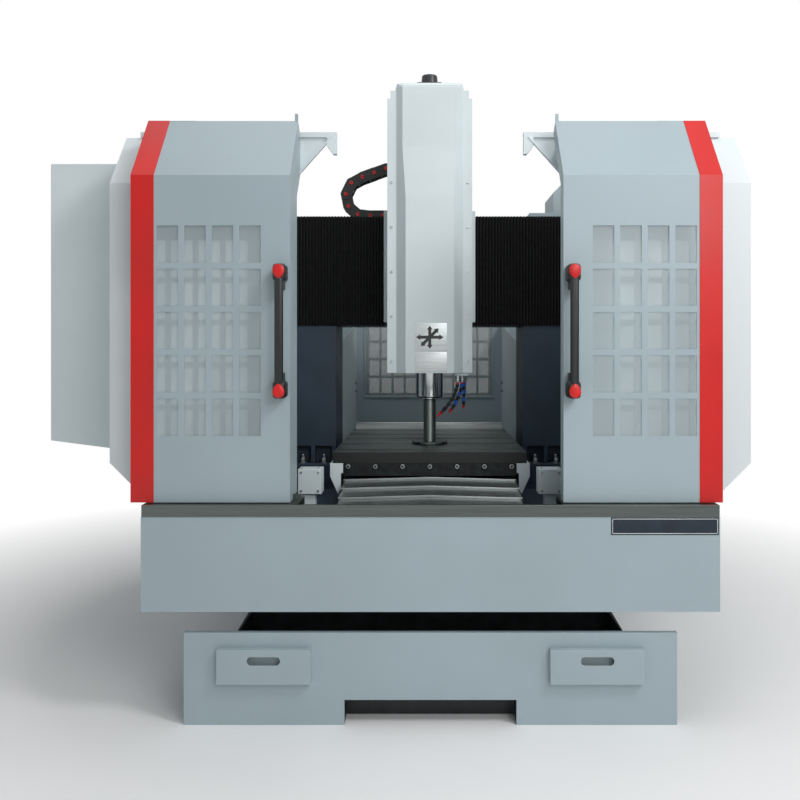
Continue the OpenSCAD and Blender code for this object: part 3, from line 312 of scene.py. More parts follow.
def lofted(bm, rings, finish=0, closed=False):
    """Skins a row of rings of points, with a cap on each end unless the row is closed."""
    rows = [[bm.verts.new(point) for point in ring] for ring in rings]
    made = []
    for one, two in zip(rows, rows[1:] + rows[:1] if closed else rows[1:]):
        for i in range(len(one)):
            j = (i + 1) % len(one)
            made.append(bm.faces.new((one[i], one[j], two[j], two[i])))
    if not closed:
        made += [bm.faces.new(rows[0]), bm.faces.new(rows[-1])]
    for face in made:
        face.material_index = finish


def turned(bm, at, axis, profile, finish=0, steps=24):
    """Adds a turned shape: (radius, height) pairs along an axis from a point."""
    lean = Vector((0, 0, 1)).rotation_difference(Vector(axis)).to_matrix().to_4x4()
    place = Matrix.Translation(at) @ lean
    angles = [2 * math.pi * i / steps for i in range(steps)]
    turns = [(math.cos(angle), math.sin(angle)) for angle in angles]
    lofted(bm, [[place @ Vector((r * c, r * s, h)) for c, s in turns] for r, h in profile], finish)


def extruded(bm, outline, along, finish=0):
    """Adds a prism: an outline of points, drawn out along a vector."""
    lofted(bm, [outline, [Vector(point) + Vector(along) for point in outline]], finish)


def new_piece(name, bm, finishes, body, smooth=35):
    """Links a finished mesh as an object with its materials, and lets it ride on a body."""
    bmesh.ops.recalc_face_normals(bm, faces=bm.faces)
    mesh = bpy.data.meshes.new(name)
    bm.to_mesh(mesh)
    bm.free()
    for finish in finishes:
        mesh.materials.append(bpy.data.materials[finish])
    mesh.polygons.foreach_set("use_smooth", [True] * len(mesh.polygons))
    mesh.set_sharp_from_angle(angle=math.radians(smooth))
    piece = bpy.data.objects.new(name, mesh)
    bpy.context.scene.collection.objects.link(piece)
    if body:
        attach(piece, body)
    return piece


def socket_screw(bm, at, axis, radius, finish=0):
    """Adds a cap screw's head with its washer face and hexagon socket."""
    profile = ((1, 0), (1, 0.55), (0.88, 0.72), (0.5, 0.72), (0.45, 0.3))
    turned(bm, at, axis, [(radius * r, radius * h) for r, h in profile], finish, 12)


# Which finish each node of the frame takes, and how far its edges are rounded, in millimetres
NODE_FINISHES = {
    "navy_cast_enamel": (3, ["base_casting", "columns", "crossbeam", "table_saddle"]),
    "grey_powder_coat": (1, ["enclosure_floor", "waist_panel", "rear_wall", "left_door", "right_door",
                             "tank_front", "beam_end_cover"]),
    "two_tone_powder_coat": (1, ["front_panels"]),
    "white_powder_coat": (1, ["rear_guards", "side_panels", "side_shields", "door_rails", "head_cover", "ram",
                              "saddle", "cabinet_box", "cabinet_door", "chain_bracket", "table_aprons"]),
    "ground_table_steel": (1, ["table"]),
    "brushed_stainless": (0.8, ["front_cover_1", "front_cover_2", "front_cover_3", "rear_cover_1",
                                "rear_cover_2", "rear_cover_3", "fixed_covers"]),
    "dark_stainless": (0.8, ["door_sill", "face_cutter"]),
    "satin_aluminium": (0.8, ["table_bar"]),
    "polished_spindle_steel": (0.8, ["spindle_housing", "spindle_shaft", "linear_rails", "z_rails",
                                     "x_screw", "y_screw", "z_screw", "saddle_nuts", "y_nut"]),
    "blackened_steel": (1, ["levelling_feet", "bearing_blocks", "guide_blocks", "y_blocks", "table_flange"]),
    # The tank's tub takes the black enamel: its outer wall is black, and inside the tub the black is painted
    # shade
    "black_motor_enamel": (3, ["axis_motors", "z_motor", "spindle_motor", "control_units", "tank"]),
    "black_moulded_plastic": (1, ["left_handle", "right_handle", "drag_chain", "coolant_hoses"]),
    "coated_bellows_cloth": (0, ["bellows"]),
    "hazy_polycarbonate": (0, ["left_panes", "right_panes"]),
}
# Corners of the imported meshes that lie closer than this, in metres, count as one
WELD = 0.02 * MM
# Edges that fold by more than this, in degrees, are rounded
FOLD = 40


class MILL_OT_finishes(bpy.types.Operator):
    """Makes the materials, and gives each node of the frame its finish and softened edges"""
    bl_idname = "mill.finishes"
    bl_label = "Finishes"

    def execute(self, context):
        make_finishes(context.scene.mill_colours, context.scene.mill_sizes)
        dressed = 0
        for finish, (rounding, names) in NODE_FINISHES.items():
            for name in names:
                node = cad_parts[name]
                node.data.materials.clear()
                node.data.materials.append(bpy.data.materials[finish])
                dressed += 1
                if rounding:
                    weld = node.modifiers.new("Weld", "WELD")
                    weld.merge_threshold = WELD
                    edge = node.modifiers.new("Edge", "BEVEL")
                    edge.width = rounding * MM
                    edge.segments = 2
                    edge.limit_method = "ANGLE"
                    edge.angle_limit = math.radians(FOLD)
                    edge.use_clamp_overlap = True
        if dressed != len(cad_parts):
            raise RuntimeError(f"{dressed} of {len(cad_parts)} nodes have a finish")
        return {"FINISHED"}


def door_outline(x, front, base, sizes, off, depth):
    """Points of a door's folded front at one X, from off in front of the sheet to depth behind it."""
    crease, top, run = sizes.crease_height, sizes.slope_top, sizes.slope_run
    lean = math.atan2(run, top - crease)
    fold = math.tan(lean / 2)
    near = [(front - off, base), (front - off, crease + off * fold),
            (front + run - off * math.cos(lean), top + off * math.sin(lean))]
    far = [(front + depth, base), (front + depth, crease - depth * fold),
           (front + run + depth * math.cos(lean), top - depth * math.sin(lean))]
    return [Vector((x, y, z)) for y, z in near + far[::-1]]


class MILL_OT_trims(bpy.types.Operator):
    """Folds a red trim round the outer edge of each sliding door"""
    bl_idname = "mill.trims"
    bl_label = "Door Trims"

    def execute(self, context):
        sizes = context.scene.mill_sizes
        thick = sizes.trim_thickness
        off_door = 0.0001
        for side, body in (("left", "door_l"), ("right", "door_r")):
            low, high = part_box(side + "_door")
            outer = low.x if side == "left" else high.x
            inward = 1 if side == "left" else -1
            bm = bmesh.new()
            face = door_outline(outer - inward * thick, low.y, low.z, sizes, thick, 0)
            extruded(bm, face, (inward * (sizes.trim_width + thick), 0, 0))
            edge = door_outline(outer - inward * thick, low.y, low.z, sizes, 0, sizes.trim_return)
            extruded(bm, edge, (inward * (thick - off_door), 0, 0))
            new_piece(side + "_door_trim", bm, ["red_enamel"], body)
        return {"FINISHED"}


def teardrop(width, height, point_up, steps=24, taper=0.35):
    """Outline of a drop in X-Z with its round end at the origin."""
    radius = width / 2
    drop = []
    for i in range(steps):
        turn = 2 * math.pi * i / steps
        x, z = radius * math.cos(turn), radius * math.sin(turn)
        if z < 0:
            z *= (height - radius) / radius
            x *= 1 - taper * (z / (height - radius)) ** 2
        drop.append((x, z if not point_up else -z))
    return drop


# A handle's red end cap, ring by ring: share of the drop's size, and metres behind the handle's front
CAP_RINGS = ((0.97, 0.006), (1.0, 0.002), (0.93, -0.001), (0.72, -0.003), (0.35, -0.0038))


class MILL_OT_handles(bpy.types.Operator):
    """Adds the end brackets and the red end caps of the door handles"""
    bl_idname = "mill.handles"
    bl_label = "Door Handles"

    def execute(self, context):
        sizes = context.scene.mill_sizes
        half = sizes.cap_width / 2
        past_end, past_cap, inset, rounding = 0.002, 0.006, 0.003, 0.012
        share_across, share_along, below_end = 0.94, 0.96, 0.001
        for side, body in (("left", "door_l"), ("right", "door_r")):
            low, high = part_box(side + "_handle")
            middle = (low.x + high.x) / 2
            bracket, caps = bmesh.new(), bmesh.new()
            for end, up in ((high.z, 1), (low.z, -1)):
                base, top = sorted((end + up * past_end, end - up * (sizes.cap_length + past_cap)))
                slab(bracket, (middle - half, low.y + inset, base), (middle + half, high.y, top), rounding)
                round_z = end - up * (half - below_end)
                drop = teardrop(sizes.cap_width * share_across, sizes.cap_length * share_along, up < 0)
                lofted(caps, [[Vector((middle + x * share, low.y + y, round_z + z * share)) for x, z in drop]
                              for share, y in CAP_RINGS])
            new_piece(side + "_handle_brackets", bracket, ["black_moulded_plastic"], body)
            new_piece(side + "_handle_caps", caps, ["red_moulded_plastic"], body)
        return {"FINISHED"}


# The two plates low on the head's front: left, base, right and top, in metres from the middle and lower edge
HEAD_PLATES = ((-0.065, 0.096, 0.075, 0.218), (-0.064, 0.006, 0.075, 0.092))
# The plain arrows on the upper one: direction in degrees and reach in metres
ARROWS = ((0, 0.06), (90, 0.05), (45, 0.055))
# Section of the ring round the spindle nose, and profile of a motor plug: radius and height in metres
NOSE_RING = ((0.0475, 0.002), (0.0475, -0.004), (0.049, -0.005), (0.056, -0.005), (0.0575, -0.0035),
             (0.0575, 0.002))
MOTOR_PLUG = ((0.013, 0), (0.013, 0.014), (0.016, 0.015), (0.016, 0.03), (0.012, 0.033))


class MILL_OT_head(bpy.types.Operator):
    """Dresses the spindle head with cover screws, bare plates, plain arrows and the nose ring"""
    bl_idname = "mill.head"
    bl_label = "Spindle Head"

    def execute(self, context):
        sizes = context.scene.mill_sizes
        cover_low, cover_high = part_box("head_cover")
        ram_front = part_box("ram")[0].y
        middle = (cover_low.x + cover_high.x) / 2

        # Screws along the flanges of the cover's sheet
        sheet, inset, end = 0.003, 0.0185, 0.05
        bm = bmesh.new()
        for i in range(int((cover_high.z - cover_low.z - 2 * end) / sizes.screw_pitch)):
            z = cover_low.z + end + i * sizes.screw_pitch
            for x in (cover_low.x + inset, cover_high.x - inset):
                socket_screw(bm, (x, ram_front - sheet, z), (0, -1, 0), sizes.screw_head)
        new_piece("head_screws", bm, ["zinc_plate"], "head")

        # The lower front of the cover carries a plate with plain arrows over a bare plate
        front = ram_front - sizes.cover_depth
        proud, sunk = 0.0012, 0.0005
        bm = bmesh.new()
        for left, base, right, top in HEAD_PLATES:
            slab(bm, (middle + left, front - proud, cover_low.z + base),
                 (middle + right, front + sunk, cover_low.z + top), 0.0005)
        hub = Vector((middle, front - proud, cover_low.z + 0.156))
        shaft, barb, neck, ink, layer = 0.0065, 0.0125, 0.68, 0.0006, 0.0002
        for turn, reach in ARROWS:
            # The arrows lie at different heights, so that no two faces share a plane
            lift = Vector((0, -layer * (1 + turn / 90), 0))
            for way in (0, 180):
                angle = math.radians(turn + way)
                along = Vector((math.cos(angle), 0, math.sin(angle)))
                across = Vector((-along.z, 0, along.x))
                arrow = [(0, shaft), (reach * neck, shaft), (reach * neck, barb), (reach, 0),
                         (reach * neck, -barb), (reach * neck, -shaft), (0, -shaft)]
                extruded(bm, [hub + along * a + across * b + lift for a, b in arrow], (0, -ink, 0), 1)
        new_piece("head_plates", bm, ["satin_aluminium", "black_ink_and_socket_shade"], "head")

        nose_low, nose_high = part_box("spindle_housing")
        centre = Vector(((nose_low.x + nose_high.x) / 2, (nose_low.y + nose_high.y) / 2, nose_low.z))
        steps = 48
        turns = [2 * math.pi * i / steps for i in range(steps)]
        bm = bmesh.new()
        lofted(bm, [[centre + Vector((r * math.cos(turn), r * math.sin(turn), h)) for r, h in NOSE_RING]
                    for turn in turns], closed=True)
        new_piece("nose_ring", bm, ["blackened_steel"], "head")

        motor_low, motor_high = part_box("z_motor")
        below_top, sunk = 0.075, 0.007
        bm = bmesh.new()
        for x in (-0.02, 0.022):
            at = ((motor_low.x + motor_high.x) / 2 + x, motor_low.y + sunk, motor_high.z - below_top)
            turned(bm, at, (0, -1, 0), MOTOR_PLUG)
        new_piece("motor_plugs", bm, ["black_moulded_plastic"], "head")
        return {"FINISHED"}


# Each hose: its place under the manifold block across and along the machine, its drop, how far its tip
# swings towards the cutter, all in metres, and whether blue joints alternate in it
HOSE_ROUTES = ((-0.015, -0.028, 0.164, 0.092, False), (0.005, 0, 0.151, 0.06, True),
               (0.015, 0.028, 0.133, 0.003, True))
# Profile of the screwed fitting that a hose hangs from: radius and height in metres
HOSE_FITTING = ((0.011, -0.017), (0.011, -0.004), (0.013, -0.003), (0.013, 0.006), (0.01, 0.008),
                (0.01, 0.012))
# Profiles of a hose's cups and of its nozzle, as shares of the hose's radius and of the step to the next
# joint, above a foot given as a share of the radius and a height in metres
HOSE_CUP = (((0.62, 0.001), (0.98, 0.002)), ((1, 0.2), (0.82, 0.55), (0.6, 0.68), (0.6, 0.78), (0.74, 0.86),
                                            (0.74, 0.98), (0.6, 1.06)))
HOSE_NOZZLE = (((0.6, 0.001), (0.95, 0.002)), ((0.9, 0.25), (0.45, 0.6), (0.42, 1), (0.25, 1)))


class MILL_OT_hoses(bpy.types.Operator):
    """Builds the jointed coolant hoses, segment by segment, in place of their plain solids"""
    bl_idname = "mill.hoses"
    bl_label = "Coolant Hoses"

    def execute(self, context):
        radius = context.scene.mill_sizes.hose_radius
        low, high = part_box("coolant_hoses")
        reach, thick, joints = 0.03, 0.014, 8
        black, blue, red, zinc, white = range(5)
        block = Vector((high.x - reach, (low.y + high.y) / 2, high.z - reach))
        bm = bmesh.new()
        slab(bm, (block.x - reach, low.y, high.z - thick), (high.x, high.y, high.z), 0.003, white)
        for side, deep, drop, swing, tint in HOSE_ROUTES:
            start = Vector((block.x + side, block.y + deep, block.z))
            turned(bm, start, (0, 0, -1), HOSE_FITTING, zinc, 12)
            route = [start + Vector((-swing * (i / joints) ** 2, 0, -drop * i / joints))
                     for i in range(joints + 1)]
            for i, (here, after) in enumerate(zip(route, route[1:])):
                step = (after - here).length
                tip = i == joints - 1
                foot, body = HOSE_NOZZLE if tip else HOSE_CUP
                profile = [(radius * r, h) for r, h in foot] + [(radius * r, step * h) for r, h in body]
                finish = red if tip or i == 0 else blue if tint and i % 2 else black
                turned(bm, here, after - here, profile, finish, 16)
        hoses = new_piece("coolant_hose_set", bm, ["black_moulded_plastic", "blue_moulded_plastic",
                                                   "red_moulded_plastic", "zinc_plate",
                                                   "white_powder_coat"], "head")
        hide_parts("coolant_hoses")
        return {"FINISHED"}


class MILL_OT_bellows(bpy.types.Operator):
    """Folds the bellows on both sides of the saddle"""
    bl_idname = "mill.bellows"
    bl_label = "Bellows"

    def execute(self, context):
        sizes = context.scene.mill_sizes
        low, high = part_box("bellows")
        saddle_low, saddle_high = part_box("saddle")
        front, plate, cloth = low.y, 0.0065, 0.002
        # Points along a fold, how sharp its edge is, rows of points up it and how far it bows out
        fine, sharp, rows, bow = 10, 0.97, 6, 0.002
        screw_rows, first_row, row_pitch, behind, proud, screw = 4, 0.06, 0.135, 0.03, 0.0034, 0.005
        frames = bmesh.new()
        for name, inner, outer in (("left_bellows", saddle_low.x, low.x + plate),
                                   ("right_bellows", saddle_high.x, high.x - plate)):
            folds = round(abs(outer - inner) / sizes.fold_pitch)
            pitch = (outer - inner) / folds
            line = []
            for i in range(folds * fine + 1):
                swing = math.asin(sharp * math.cos(2 * math.pi * i / fine)) / math.asin(sharp)
                line.append((inner + pitch * i / fine, front + sizes.fold_depth * (0.5 - 0.5 * swing)))
            outline = line + [(x, y + cloth) for x, y in reversed(line)]
            bm = bmesh.new()
            # The folds bow out a little at mid height and draw in at the two hems
            levels = [low.z + (high.z - low.z) * k / rows for k in range(rows + 1)]
            lofted(bm, [[Vector((x, y - bow * math.sin(math.pi * k / rows), z)) for x, y in outline]
                        for k, z in enumerate(levels)])
            piece = new_piece(name, bm, ["coated_bellows_cloth"], None, 60)
            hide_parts("bellows")
            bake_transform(piece)

            # The plate that ends the bellows on the beam, with its screws
            way = 1 if outer > inner else -1
            near, far = sorted((outer, high.x if way > 0 else low.x))
            slab(frames, (near, front, low.z), (far, high.y, high.z), 0.001)
            for k in range(screw_rows):
                at = ((near + far) / 2 + way * proud, front + behind, low.z + first_row + row_pitch * k)
                socket_screw(frames, at, (way, 0, 0), screw, 1)
        new_piece("bellows_plates", frames, ["black_motor_enamel", "zinc_plate"], "frame")
        return {"FINISHED"}


class MILL_OT_chain(bpy.types.Operator):
    """Carries the drag chain's links over, with the red plugs of its joints"""
    bl_idname = "mill.chain"
    bl_label = "Drag Chain"

    def execute(self, context):
        plug = context.scene.mill_sizes.chain_plug
        low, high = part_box("drag_chain")
        # Half a link's height, the run on the beam, the bend's radius, the links' pitch and number, the climb
        side, run, bend, pitch, links = 0.0265, 0.341, 0.096, 0.063, 12
        climb = math.radians(20)
        turn_x, base = high.x - side - run, low.z + side
        profile = [(plug, -0.001), (plug, 0.002), (plug * 0.8, 0.0034), (plug * 0.35, 0.0034),
                   (plug * 0.3, 0.002)]
        bm = bmesh.new()
        bm.from_mesh(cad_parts["drag_chain"].data)
        bmesh.ops.remove_doubles(bm, verts=bm.verts, dist=WELD)
        bmesh.ops.dissolve_limit(bm, angle_limit=math.radians(1), verts=bm.verts, edges=bm.edges)
        for i in range(links + 1):
            gone = i * pitch
            arc = min(max((gone - run) / bend, 0), math.pi - climb)
            over = max(gone - run - bend * (math.pi - climb), 0)
            x = turn_x + max(run - gone, 0) - bend * math.sin(arc) + over * math.cos(climb)
            z = base + bend * (1 - math.cos(arc)) + over * math.sin(climb)
            for face, way in ((low.y, -1), (high.y, 1)):
                turned(bm, (x, face, z), (0, way, 0), profile, 1, 16)
        chain = new_piece("drag_chain_links", bm, ["black_moulded_plastic", "red_moulded_plastic"], None)
        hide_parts("drag_chain")
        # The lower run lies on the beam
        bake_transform(chain)
        return {"FINISHED"}


# A column bolt's washer, nut and stud: steps round and profile, with radius and height in metres
COLUMN_BOLT = ((24, ((0.021, 0), (0.021, 0.004), (0.012, 0.004), (0.012, 0.005))),
               (6, ((0.016, 0.004), (0.016, 0.02), (0.0145, 0.0225), (0.007, 0.0225))),
               (16, ((0.0095, 0.02), (0.0095, 0.038), (0.008, 0.04))))
# A black disc over the socket of a flange screw, painted shade for its hollow: radius and height in metres
SOCKET_SHADE_DISC = ((0.006, 0.006), (0.006, 0.0071), (0.0055, 0.0074))


class MILL_OT_fasteners(bpy.types.Operator):
    """Adds the column bolts and the screws of the side shields, table flange and rear wall"""
    bl_idname = "mill.fasteners"
    bl_label = "Fasteners"

    def execute(self, context):
        radius = context.scene.mill_sizes.screw_head
        column_low, column_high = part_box("columns")
        middle = (column_low.x + column_high.x) / 2
        column, behind_front = 0.25, 0.022
        inner = column_high.x - middle - column
        bm = bmesh.new()
        for way in (-1, 1):
            for off in (0.06, 0.16):
                at = Vector((middle + way * (inner + off), column_low.y + behind_front, column_low.z))
                for steps, profile in COLUMN_BOLT:
                    turned(bm, at, (0, 0, 1), profile, 0, steps)
        new_piece("column_bolts", bm, ["zinc_plate"], "frame")

        shield_low, shield_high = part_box("side_shields")
        width, inset, lower, small = 0.09, 0.012, 0.083, radius * 0.75
        first, pitch = 0.018, 0.04
        bm = bmesh.new()
        for edge in (shield_low.x, shield_high.x - width):
            for x in (inset, width - inset):
                for down in (inset, lower):
                    at = (edge + x, shield_low.y, shield_high.z - down)
                    socket_screw(bm, at, (0, -1, 0), small)
                for k in range(2):
                    at = (edge + x, shield_low.y + first + k * pitch, shield_high.z)
                    socket_screw(bm, at, (0, 0, 1), small)
        new_piece("shield_screws", bm, ["zinc_plate"], "frame")

        flange_low, flange_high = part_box("table_flange")
        from_end, sunk, below_top, head, rows = 0.02, 0.002, 0.012, 0.0096, 3
        middle = (flange_low.x + flange_high.x) / 2
        reach = (flange_high.x - flange_low.x) / 2 - from_end
        bm = bmesh.new()
        for k in range(-rows, rows + 1):
            at = (middle + reach * k / rows, flange_low.y + sunk, flange_high.z - below_top)
            socket_screw(bm, at, (0, -1, 0), head)
            # The black disc over the socket is painted shade, standing in for the dark hollow
            turned(bm, at, (0, -1, 0), SOCKET_SHADE_DISC, 1, 12)
        new_piece("flange_screws", bm, ["zinc_plate", "black_ink_and_socket_shade"], "worktable")

        # Rows of screws on the rear wall, and half the width of each row, in metres
        wall_low, wall_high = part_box("rear_wall")
        middle, edge, gaps = (wall_low.x + wall_high.x) / 2, 0.03, 12
        bm = bmesh.new()
        for z, half in ((wall_low.z + edge, 0.96), (0.6, 0.96), (0.96, 1.14), (wall_high.z - edge, 1.14)):
            for k in range(gaps + 1):
                at = (middle - half + 2 * half * k / gaps, wall_high.y, z)
                socket_screw(bm, at, (0, 1, 0), radius)
        new_piece("rear_screws", bm, ["zinc_plate"], "frame")
        return {"FINISHED"}


class MILL_OT_plates(bpy.types.Operator):
    """Adds the bare plate on the front panel, with its pale rim"""
    bl_idname = "mill.plates"
    bl_label = "Front Plate"

    def execute(self, context):
        sizes = context.scene.mill_sizes
        low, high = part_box("waist_panel")
        from_side, from_top = 0.005, 0.002
        right, top, front = high.x - from_side, high.z - from_top, low.y
        left, base = right - sizes.plate_length, top - sizes.plate_height
        proud, sunk, rim_proud, rim_sunk = 0.0016, 0.0002, 0.0021, 0.0012
        bm = bmesh.new()
        slab(bm, (left, front - proud, base), (right, front + sunk, top), 0.0006)
        rim, gap = 0.0022, 0.004
        left, right, base, top = left + gap, right - gap, base + gap, top - gap
        for x, z, to_x, to_z in ((left, base, right, base + rim), (left, top - rim, right, top),
                                 (left, base, left + rim, top), (right - rim, base, right, top)):
            slab(bm, (x, front - rim_proud, z), (to_x, front - rim_sunk, to_z), 0.0003, 1)
        new_piece("front_plate", bm, ["anodised_plate", "satin_aluminium"], "frame")
        return {"FINISHED"}


class MILL_OT_panes(bpy.types.Operator):
    """Adds the window sheets behind the openings of the rear wall and the fixed front panels"""
    bl_idname = "mill.panes"
    bl_label = "Fixed Windows"

    def execute(self, context):
        wall_low, wall_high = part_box("rear_wall")
        middle, back = (wall_low.x + wall_high.x) / 2, wall_low.y
        half, base, top = 0.392, 1.018, 1.806
        thick, gap = 0.004, 0.0002
        bm = bmesh.new()
        slab(bm, (middle - half, back - thick, base), (middle + half, back - gap, top), 0.001)
        new_piece("rear_window", bm, ["dusty_polycarbonate"], "frame")

        band, frame_proud, frame_gap = 0.016, 0.007, 0.0001
        wide = half + band
        bm = bmesh.new()
        for x, z, to_x, to_z in ((-wide, base - band, wide, base), (-wide, top, wide, top + band),
                                 (-wide, base, -half, top), (half, base, wide, top)):
            slab(bm, (middle + x, back - frame_proud, z), (middle + to_x, back - frame_gap, to_z), 0.002)
        new_piece("rear_window_frame", bm, ["grey_powder_coat"], "frame")

        panel_low, panel_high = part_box("front_panels")
        sheet = panel_low.y + 0.003
        near_edge, far_edge, base, top = 0.112, 0.516, 0.941, 1.72
        bm = bmesh.new()
        for edge, way in ((panel_low.x, 1), (panel_high.x, -1)):
            left, right = sorted((edge + way * near_edge, edge + way * far_edge))
            slab(bm, (left, sheet + gap, base), (right, sheet + thick, top), 0.001)
        new_piece("front_windows", bm, ["milky_polycarbonate"], "frame")
        return {"FINISHED"}


class MILL_OT_guards(bpy.types.Operator):
    """Folds the two guard plates behind the columns, whose tops rise to the rear wall"""
    bl_idname = "mill.guards"
    bl_label = "Rear Guards"

    def execute(self, context):
        low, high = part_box("rear_guards")
        rise, sheet, hem, screw = 0.13, 0.003, 0.014, 0.007
        crest = high.z + 0.105
        screws = ((high.y - 0.06, low.z + 0.33), (high.y - 0.06, low.z + 0.28), (low.y + 0.3, low.z + 0.02))
        bm = bmesh.new()
        for inner, way in ((low.x + sheet, 1), (high.x - sheet, -1)):
            side = [(low.y, low.z), (low.y, crest - rise), (high.y, crest), (high.y, low.z)]
            extruded(bm, [Vector((inner - way * sheet, y, z)) for y, z in side], (way * sheet, 0, 0))
            near, far = sorted((inner - way * hem, inner))
            slab(bm, (near, low.y, low.z), (far, low.y + sheet, crest - rise), 0.0008)
            for y, z in screws:
                socket_screw(bm, (inner, y, z), (way, 0, 0), screw, 1)
        guards = new_piece("guard_plates", bm, ["white_powder_coat", "blackened_steel"], "frame")
        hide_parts("rear_guards")
        return {"FINISHED"}


# Profile of a cabinet lock: radius and height in metres
LOCK = ((0.017, -0.001), (0.017, 0.004), (0.0145, 0.0065), (0.0145, 0.009), (0.012, 0.0105), (0.004, 0.0105),
        (0.0035, 0.007))
# Section of a louvre's hood: how far it stands off the door and its height, in metres
HOOD = ((-0.0005, 0), (0.0075, 0.001), (0.0085, 0.003), (0.005, 0.009), (-0.0005, 0.014))


class MILL_OT_cabinet(bpy.types.Operator):
    """Adds the locks and louvres of the electrical cabinet's door"""
    bl_idname = "mill.cabinet"
    bl_label = "Cabinet Door"

    def execute(self, context):
        low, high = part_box("cabinet_door")
        hinge_depth, from_edge, from_end = 0.016, 0.035, 0.25
        face = low.x + hinge_depth
        key_front, key_back, key_half, key_reach = 0.0135, 0.008, 0.0035, 0.012
        bm = bmesh.new()
        for z in (low.z + from_end, high.z - from_end):
            y = low.y + from_edge
            turned(bm, (face, y, z), (-1, 0, 0), LOCK)
            slab(bm, (face - key_front, y - key_half, z - key_reach),
                 (face - key_back, y + key_half, z + key_reach), 0.001)
        new_piece("cabinet_locks", bm, ["zinc_plate"], "cabinet_leaf")

        middle = (low.y + high.y) / 2
        count, pitch, column, long = 9, 0.02, 0.13, 0.22
        bm = bmesh.new()
        for group in (low.z + 0.12, high.z - 0.28):
            for k in range(count):
                z = group + k * pitch
                for y in (middle - column, middle + column):
                    outline = [Vector((face - off, y - long / 2, z + up)) for off, up in HOOD]
                    extruded(bm, outline, (0, long, 0))
        new_piece("cabinet_louvres", bm, ["white_powder_coat"], "cabinet_leaf")
        return {"FINISHED"}


# Soft lamps: name, place and aim in metres, width in metres and watts
LAMPS = (("high_right", (3.4, -3.35, 5.1), (0.2, -0.6, 1.6), 1.4, 104),
         ("front", (1.8, -4.7, 3.0), (0.2, -0.6, 1.3), 2.4, 62),
         ("overhead", (0.0, -1.2, 5.6), (0.1, -0.4, 1.0), 4.0, 50))
# The floor's radius, and the distances from its middle where it starts and ends to fade, in metres
FLOOR_RADIUS, FADE_START, FADE_END = 60, 1.5, 3.6
# Strength of the surround that lights the machine
SURROUND = 0.27
# The camera's place in metres, its sensor and lens in millimetres and its shift in widths of the picture
CAMERA_PLACE, SENSOR, LENS, SHIFT = (0.1895, -3.8835, 1.313), 36, 36.135, (-0.03375, -0.0644)


def straight_or_bent(tree):
    """1 for the rays of the eye, of mirrors and through glass, 0 for those that light the machine."""
    path = add(tree, "ShaderNodeLightPath")
    bent = add(tree, "ShaderNodeMath", {0: path.outputs["Is Glossy Ray"],
                                        1: path.outputs["Is Transmission Ray"]}, operation="MAXIMUM")
    seen = add(tree, "ShaderNodeMath", {0: path.outputs["Is Camera Ray"], 1: bent.outputs["Value"]},
               operation="MAXIMUM")
    return seen.outputs["Value"]


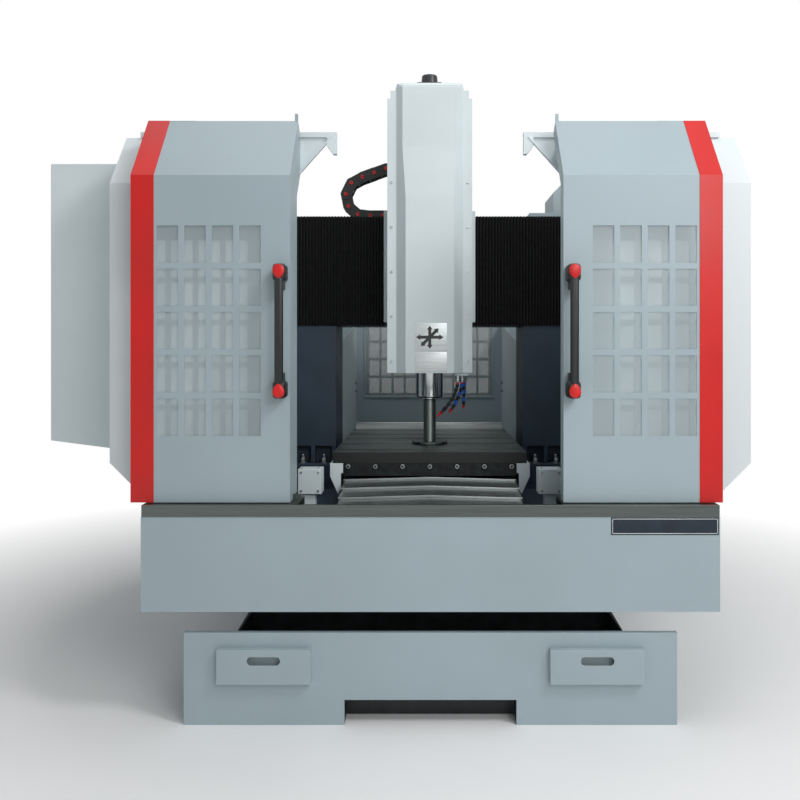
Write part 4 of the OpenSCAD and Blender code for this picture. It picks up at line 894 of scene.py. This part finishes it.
class MILL_OT_stage(bpy.types.Operator):
    """Sets up the pale floor, the soft light and the camera"""
    bl_idname = "mill.stage"
    bl_label = "Stage"

    def execute(self, context):
        scene = context.scene
        scene.view_settings.view_transform = "Standard"

        # Pale floor that keeps the shadow and fades into white away from the machine
        bm = bmesh.new()
        bmesh.ops.create_circle(bm, cap_ends=True, segments=96, radius=FLOOR_RADIUS)
        mesh = bpy.data.meshes.new("floor")
        bm.to_mesh(mesh)
        bm.free()
        floor = bpy.data.objects.new("floor", mesh)
        scene.collection.objects.link(floor)
        tree, surface, where = start_finish("pale_floor", IOR=1.4)
        dress(tree, surface, noise_of(tree, where, mm=900), (linear("#f6f6f6"), linear("#fbfbfb")),
              (0.6, 0.7))
        away = add(tree, "ShaderNodeVectorMath", {0: where}, operation="LENGTH")
        fade = add(tree, "ShaderNodeMapRange", {"Value": away.outputs["Value"], "From Min": FADE_START,
                                                "From Max": FADE_END})
        white = add(tree, "ShaderNodeEmission", {"Strength": 1.0})
        shown = add(tree, "ShaderNodeMath", {0: fade.outputs["Result"], 1: straight_or_bent(tree)},
                    operation="MULTIPLY")
        mix = add(tree, "ShaderNodeMixShader", {0: shown.outputs["Value"], 1: surface.outputs["BSDF"],
                                                2: white.outputs["Emission"]})
        tree.links.new(mix.outputs["Shader"], tree.nodes["Material Output"].inputs["Surface"])
        mesh.materials.append(bpy.data.materials["pale_floor"])

        # White surround for the eye, for mirrors and through glass, and a softer one that lights the machine
        world = scene.world or bpy.data.worlds.new("studio")
        scene.world = world
        world.use_nodes = True
        tree = world.node_tree
        tree.nodes.clear()
        plain = add(tree, "ShaderNodeBackground", {"Color": linear("#ffffff"), "Strength": 1.0})
        soft = add(tree, "ShaderNodeBackground", {"Color": linear("#f3f7fa"), "Strength": SURROUND})
        mix = add(tree, "ShaderNodeMixShader", {0: straight_or_bent(tree), 1: soft.outputs["Background"],
                                                2: plain.outputs["Background"]})
        add(tree, "ShaderNodeOutputWorld", {"Surface": mix.outputs["Shader"]})

        for name, place, aim, size, power in LAMPS:
            lamp = bpy.data.lights.new(name, "AREA")
            lamp.shape, lamp.size, lamp.energy = "DISK", size, power
            holder = bpy.data.objects.new(name, lamp)
            holder.location = place
            holder.rotation_euler = (Vector(aim) - Vector(place)).to_track_quat("-Z", "Y").to_euler()
            scene.collection.objects.link(holder)

        lens = bpy.data.cameras.new("camera")
        lens.sensor_width, lens.lens = SENSOR, LENS
        lens.shift_x, lens.shift_y = SHIFT
        lens.clip_end = 2 * FLOOR_RADIUS
        camera = bpy.data.objects.new("camera", lens)
        camera.location = CAMERA_PLACE
        camera.rotation_euler = (math.radians(90), 0, 0)
        scene.collection.objects.link(camera)
        scene.camera = camera
        return {"FINISHED"}


class MILL_PT_panel(bpy.types.Panel):
    """Lists the machine's pieces in the 3D view's sidebar"""
    bl_label = "Gantry Mill"
    bl_idname = "MILL_PT_panel"
    bl_space_type = "VIEW_3D"
    bl_region_type = "UI"
    bl_category = "Gantry Mill"

    def draw(self, context):
        for operator in OPERATORS:
            self.layout.operator(operator.bl_idname)
        for group in (context.scene.mill_sizes, context.scene.mill_colours):
            for name in group.__annotations__:
                self.layout.prop(group, name)


OPERATORS = (MILL_OT_finishes, MILL_OT_hoses, MILL_OT_trims, MILL_OT_handles, MILL_OT_head,
             MILL_OT_bellows, MILL_OT_chain, MILL_OT_fasteners, MILL_OT_plates, MILL_OT_panes,
             MILL_OT_guards, MILL_OT_cabinet, MILL_OT_stage)
CLASSES = (MillColours, MillSizes, *OPERATORS, MILL_PT_panel)


def register():
    for cls in CLASSES:
        bpy.utils.register_class(cls)
    bpy.types.Scene.mill_colours = bpy.props.PointerProperty(type=MillColours)
    bpy.types.Scene.mill_sizes = bpy.props.PointerProperty(type=MillSizes)


def unregister():
    del bpy.types.Scene.mill_sizes
    del bpy.types.Scene.mill_colours
    for cls in reversed(CLASSES):
        bpy.utils.unregister_class(cls)


def main():
    """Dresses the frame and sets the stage."""
    register()
    bpy.ops.mill.finishes()
    bpy.ops.mill.hoses()
    bpy.ops.mill.trims()
    bpy.ops.mill.handles()
    bpy.ops.mill.head()
    bpy.ops.mill.bellows()
    bpy.ops.mill.chain()
    bpy.ops.mill.fasteners()
    bpy.ops.mill.plates()
    bpy.ops.mill.panes()
    bpy.ops.mill.guards()
    bpy.ops.mill.cabinet()
    bpy.ops.mill.stage()
    bpy.context.view_layer.update()


if __name__ == "__main__":
    main()
